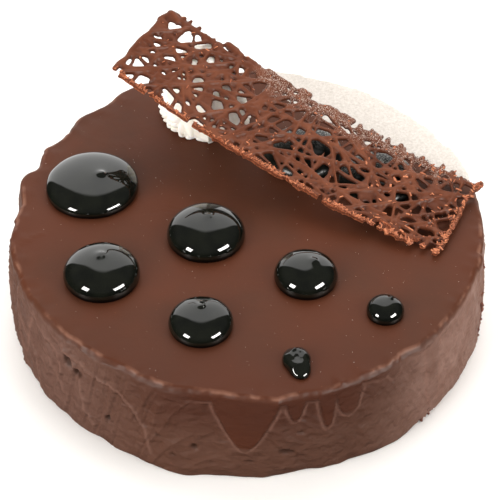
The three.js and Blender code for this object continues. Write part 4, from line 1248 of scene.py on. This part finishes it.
def cream_finish():
    look = Look("cream")
    thick = look.noise(6.0, 2.0, seed=40).step(0.3, 0.7)
    colour = look.blend(thick, tone(250, 242, 230), tone(253, 248, 240))
    pores = look.grains(1.1).step(0.0, 0.35)
    normal = look.bump(pores * 0.5 + look.noise(0.8, 2.0, seed=41), 0.16)
    look.wear(Subsurface_Weight=0.15, Subsurface_Radius=(0.6, 0.45, 0.3), Subsurface_Scale=0.004)
    return look.wear(Base_Color=colour, Roughness=0.5 + 0.1 * thick, Normal=normal, Specular_IOR_Level=0.3)


cream_piece = put_mesh("piped_rosette", cream_grid(), tube_faces(CREAM_ROWS, CREAM_AROUND), cream_finish())
adopt(cream_piece, "cream", "piped_cream")

# %% [markdown]
# ## Flakes, crumbs and grains
# The last things on a cake are the smallest: shards that broke from the cut edge, crumbs at the
# side, grains of sugar. Each kind is one mesh of many tiny closed solids, copied from one array
# of corner points that is turned, stretched and moved as whole arrays.

# %% Scattering many small solids
OCTAHEDRON = np.array([[1, 0, 0], [-1, 0, 0], [0, 1, 0], [0, -1, 0], [0, 0, 1], [0, 0, -1]], float)
OCTAHEDRON_FACES = np.array(
    [[0, 2, 4], [2, 1, 4], [1, 3, 4], [3, 0, 4], [2, 0, 5], [1, 2, 5], [3, 1, 5], [0, 3, 5]]
)
SHARD = np.array([
    [-1, -1, -1], [0, -1, -0.4], [1, -1, -1], [1, 1, -1], [0, 1, -0.4], [-1, 1, -1],
    [-1, -1, 1], [0, -1, 1.6], [1, -1, 1], [1, 1, 1], [0, 1, 1.6], [-1, 1, 1],
], float)
SHARD_FACES = np.array([
    [0, 4, 1], [0, 5, 4], [1, 3, 2], [1, 4, 3], [6, 7, 10], [6, 10, 11], [7, 8, 9], [7, 9, 10],
    [0, 1, 7], [0, 7, 6], [1, 2, 8], [1, 8, 7], [2, 3, 9], [2, 9, 8], [3, 4, 10], [3, 10, 9],
    [4, 5, 11], [4, 11, 10], [5, 0, 6], [5, 6, 11],
])


def turned(count, tip=np.pi):
    """Random turns as 3 x 3 arrays: a spin about the upright, then a tip of at most half of this."""
    spin = random.random(count) * 2 * np.pi
    lean = (random.random(count) - 0.5) * tip
    toward = random.random(count) * 2 * np.pi
    zero, one = np.zeros(count), np.ones(count)
    c, s = np.cos(spin), np.sin(spin)
    flat_turn = np.stack([c, -s, zero, s, c, zero, zero, zero, one], 1).reshape(-1, 3, 3)
    ax, ay = np.cos(toward), np.sin(toward)
    c, s = np.cos(lean), np.sin(lean)
    tipping = np.stack([
        c + ax * ax * (1 - c), ax * ay * (1 - c), ay * s,
        ax * ay * (1 - c), c + ay * ay * (1 - c), -ax * s,
        -ay * s, ax * s, c,
    ], 1).reshape(-1, 3, 3)
    return tipping @ flat_turn


def drawn(count, weight):
    """Indices of different points, drawn by their weight."""
    return random.choice(len(weight), count, replace=False, p=weight / weight.sum())


def scatter(name, shape, shape_faces, places, sizes, turns, material, soft=False):
    """One mesh of many copies: each corner is turn * (size * corner) + place."""
    count = len(places)
    corners = np.einsum("nij,nkj->nki", turns, sizes[:, None, :] * shape[None])
    points = (corners + places[:, None, :]).reshape(-1, 3)
    faces = (shape_faces[None] + (np.arange(count) * len(shape))[:, None, None]).reshape(-1, 3)
    lot = np.repeat(np.arange(count) % 97 / 96, len(shape))
    adopt(put_mesh(name, points, faces, material, soft=soft, lot=lot), None)


# %% Shards of chocolate
SHARDS = 760


def shard_finish():
    look = Look("chocolate_shards")
    crumb = look.noise(0.8, 2.0, 0.7, seed=50)
    colour = look.blend(look.value("lot"), dark(160, 82, 46), dark(234, 146, 98))
    colour = look.blend(crumb.step(0.45, 0.75) * 0.6, colour, dark(128, 60, 38))
    return look.wear(Base_Color=colour, Roughness=0.6 + 0.2 * crumb, Normal=look.bump(crumb, 0.2))


up_facing = np.nonzero(sheet_normals[:, 2] > 0.55)[0]
on_top = sheet_points[up_facing]
near_weight = 14 * bell((on_top[:, 1] + HALF_WIDTH - 1.2) / 1.6) * (0.4 + (mottle(on_top, 12.0, 111) > -0.2))
right_weight = 5 * bell((on_top[:, 0] - 2.0) / 3.0)
weight = near_weight + right_weight + 0.12 + 0.35 * bell((on_top[:, 0] - 20) / 25)
picked = up_facing[drawn(SHARDS, weight)]
shard_flat = sheet_points[picked] + [0, 0, 0.12]
shard_flat[:, 1] = np.clip(shard_flat[:, 1], -HALF_WIDTH + 0.9, HALF_WIDTH - 0.9)
long_half = random.uniform(0.4, 1.35, SHARDS) * random.uniform(0.6, 1.0, SHARDS)
long_half *= 1 + 0.35 * (shard_flat[:, 0] < 60)
wide_half = long_half * random.uniform(0.16, 0.36, SHARDS)
shard_sizes = points_at(long_half, wide_half, random.uniform(0.10, 0.2, SHARDS))
scatter(
    "chocolate_shards", SHARD, SHARD_FACES, bend(shard_flat), shard_sizes, turned(SHARDS, 1.3),
    shard_finish(),
)

# %% Grains of icing sugar and dust
HAZE, STRAYS, SIFTED = 9000, 330, 600
GRAIN_HALF = (0.07, 0.20)


def grain_finish():
    look = Look("sugar_grains")
    colour = look.blend(look.value("lot"), tone(222, 214, 206), tone(252, 249, 244))
    rough = 0.8 + 0.1 * look.noise(0.5, seed=55)
    return look.wear(Base_Color=colour, Roughness=rough, Specular_IOR_Level=0.3)


def fallen(count, reach_x, reach_y, keep):
    """Places on the top of the cake where a falling grain stays: random ones, kept by a share."""
    x = random.uniform(*reach_x, count)
    y = random.uniform(*reach_y, count)
    stay = random.random(count) < keep(x, y)
    x, y = x[stay], y[stay]
    return points_at(x, y, HEIGHT + top_relief(x, y) + 0.04)


def on_cake(x, y):
    return np.hypot(x, y) < 116.5


def sugar_haze(x, y):
    """Grains thin out over about 25 mm in front of the drift."""
    return on_cake(x, y) * sugar_cover(x, y, 44.0) * (1.15 - sugar_cover(x, y, 6.0)) * 0.9


haze = fallen(HAZE, (-40, 118), (10, 118), sugar_haze)
strays = fallen(STRAYS, (-116, 116), (-116, 116), on_cake)
sifted_weight = np.where(sheet_normals[:, 2] > 0.4, sifted, 0) ** 1.5
on_sheet = sheet_points[drawn(SIFTED, sifted_weight)]
grain_places = np.concatenate([haze, strays, bend(on_sheet + [0, 0, 0.05])])
grains = len(grain_places)
grain_half = random.uniform(*GRAIN_HALF, (grains, 1)) * random.uniform(0.7, 1.3, (grains, 3))
grain_half[len(haze):len(haze) + len(strays)] *= 0.75
scatter(
    "sugar_grains", OCTAHEDRON, OCTAHEDRON_FACES, grain_places, grain_half, turned(grains), grain_finish()
)

# %% Crumbs that stuck to the side
# angle, height over the board, size in mm
CRUMBS = [
    (192.0, 22.0, 1.3), (193.0, 24.0, 0.7), (349.5, 42.0, 1.4), (348.5, 35.0, 1.5), (348.0, 27.0, 1.3),
    (347.0, 21.0, 1.7), (347.5, 14.0, 1.9), (347.0, 9.0, 1.5), (345.5, 3.0, 1.2), (316.5, 4.6, 0.6),
    (314.5, 1.6, 1.1), (317.0, 1.4, 0.9), (12.0, 16.0, 1.2), (38.0, 6.0, 1.5), (70.0, 4.0, 1.1),
    (110.0, 5.0, 1.3), (140.0, 9.0, 1.0), (168.0, 4.0, 1.2), (205.0, 2.2, 0.8),
]
CRUMBS_EACH = 5
LUMP_ROWS, LUMP_AROUND = 5, 9


def lump_shape():
    """A round lump as rings. The copies differ by stretch and turn."""
    rise, turn = ring_grid(np.linspace(-np.pi / 2, np.pi / 2, LUMP_ROWS + 2)[1:-1], full_turn(LUMP_AROUND))
    rings = points_at(np.cos(rise) * np.cos(turn), np.cos(rise) * np.sin(turn), np.sin(rise))
    points = np.concatenate([rings, [[0, 0, -1], [0, 0, 1]]])
    return points * (1 + 0.28 * mottle(points, 0.7, 120)[:, None])


def crumb_finish():
    look = Look("cake_crumb")
    crumb = look.noise(0.9, 3.0, 0.7, seed=60)
    colour = look.blend(crumb.step(0.35, 0.65), dark(70, 34, 22), dark(150, 78, 48))
    return look.wear(Base_Color=colour, Roughness=0.75 + 0.15 * crumb, Normal=look.bump(crumb, 0.4))


angle, above, size = np.repeat(np.array(CRUMBS), CRUMBS_EACH, axis=0).T
crumbs = len(angle)
angle = angle + random.normal(0, 0.55, crumbs)
above = np.clip(above + random.normal(0, 1.0, crumbs), 1.0, 50)
crumb_size = size[:, None] * random.uniform(0.3, 0.75, (crumbs, 1)) * random.uniform(0.7, 1.2, (crumbs, 3))
reach = side_radius(above) + lobes(angle, above) + 0.2
crumb_places = points_at(reach * np.cos(np.radians(angle)), reach * np.sin(np.radians(angle)), above)
scatter(
    "cake_crumbs", lump_shape(), tube_faces(LUMP_ROWS, LUMP_AROUND), crumb_places, crumb_size,
    turned(crumbs), crumb_finish(), soft=True,
)

# %% [markdown]
# ## Floor, light and room
# Pale board, bright wall behind, dark ceiling, two soft boxes in front: the glossy drops mirror
# all of it. The wall gives the grey far half of each drop, the ceiling its dark middle, and each
# soft box one white fleck.

# %% Floor
FLOOR_HALF = 3000.0
floor_look = Look("pale_board")
floor_tone = floor_look.blend(floor_look.noise(40.0, 2.0, seed=70), tone(243, 242, 240), tone(248, 247, 246))
floor_look.wear(Base_Color=floor_tone, Roughness=0.7)
floor_points = points_at(*np.array([[-1, -1], [1, -1], [1, 1], [-1, 1]]).T * FLOOR_HALF, -0.02)
floor = put_mesh("pale_floor", floor_points, np.array([[0, 1, 2, 3]]), floor_look.material)
floor.visible_glossy = False
floor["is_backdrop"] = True

# %% Room
WALL_LIGHT = 1.45
CEILING_LIGHT = 0.09
FRONT_LIGHT = 0.03
WALL_SPREAD = 1.07  # half width of the wall over its distance
WALL_NEAREST = 0.25  # the wall ends above the cake, seen in this direction
SOFT_LIGHT = 0.40  # what the room gives to the matt surfaces
ROOM_SEEN = 0.92

room = bpy.data.worlds.new("studio_room")
bpy.context.scene.world = room
room.use_nodes = True
room_nodes = Nodes(room.node_tree)
across, back, up = room_nodes.axes(room_nodes.node("ShaderNodeTexCoord", output="Generated"))
beyond = back * back - across * across * WALL_SPREAD**-2
wall = beyond.step(WALL_NEAREST**2 - 0.02, WALL_NEAREST**2 + 0.05) * back.step(0.0, 0.05)
strength = wall * WALL_LIGHT + (1 - wall) * (up.step(0.15, 0.6) * CEILING_LIGHT + FRONT_LIGHT)
seen, soft = (room_nodes.node("ShaderNodeLightPath", output=f"Is {ray} Ray") for ray in ("Camera", "Diffuse"))
strength = (strength + soft * SOFT_LIGHT) * (1 - seen) + seen * ROOM_SEEN
background = room.node_tree.nodes["Background"]
background.inputs["Color"].default_value = (1.0, 0.99, 0.975, 1.0)
room_nodes.feed(background.inputs["Strength"], strength)

# %% Lamps
# Square soft lights that look at the cake. Azimuth 0 is in front and 90 at the right. The lights
# brighten the matt surfaces, and the boxes only show in the gloss.
# name, azimuth, elevation, distance, width and height in metres, power, whether it shows in gloss
LAMPS = [
    ("top_light", 168, 62, 1.25, 1.0, 0.8, 8.0, False),
    ("left_soft", -56, 25, 1.3, 1.0, 1.0, 17.0, False),
    ("right_soft", 72, 27, 1.3, 1.0, 1.0, 12.0, False),
    ("left_box", -50, 31, 1.2, 0.36, 0.34, 14.0, True),
    ("right_box", 52, 32, 1.2, 0.62, 0.30, 20.0, True),
]
for name, azimuth, elevation, distance, wide, tall, power, in_gloss in LAMPS:
    light = bpy.data.lights.new(name, "AREA")
    light.shape = "RECTANGLE"
    light.size, light.size_y = wide, tall
    light.energy = power
    light.color = (1, 0.97, 0.93)
    lamp = bpy.data.objects.new(name, light)
    a, e = math.radians(azimuth), math.radians(elevation)
    level = distance * math.cos(e)
    lamp.location = (level * math.sin(a), -level * math.cos(a), distance * math.sin(e) + 0.05)
    lamp.rotation_euler = (math.pi / 2 - e, 0, a)
    lamp.visible_camera = False
    lamp.visible_glossy = in_gloss
    lamp.visible_diffuse = not in_gloss
    bpy.context.scene.collection.objects.link(lamp)

# %% [markdown]
# ## Last measurements
# The box of the solids and the box of the dressed cake are printed side by side at the end. The
# dressed cake has to stay inside the box of the solids, give or take a crumb.

# %% Sizes and finish
corners = {"cad_box": cad_box, "visual_box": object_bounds()}
{name: [[float(x) for x in corner] for corner in box] for name, box in corners.items()}
print("boxes:", {name: [[round(x, 4) for x in c] for c in box] for name, box in corners.items()})
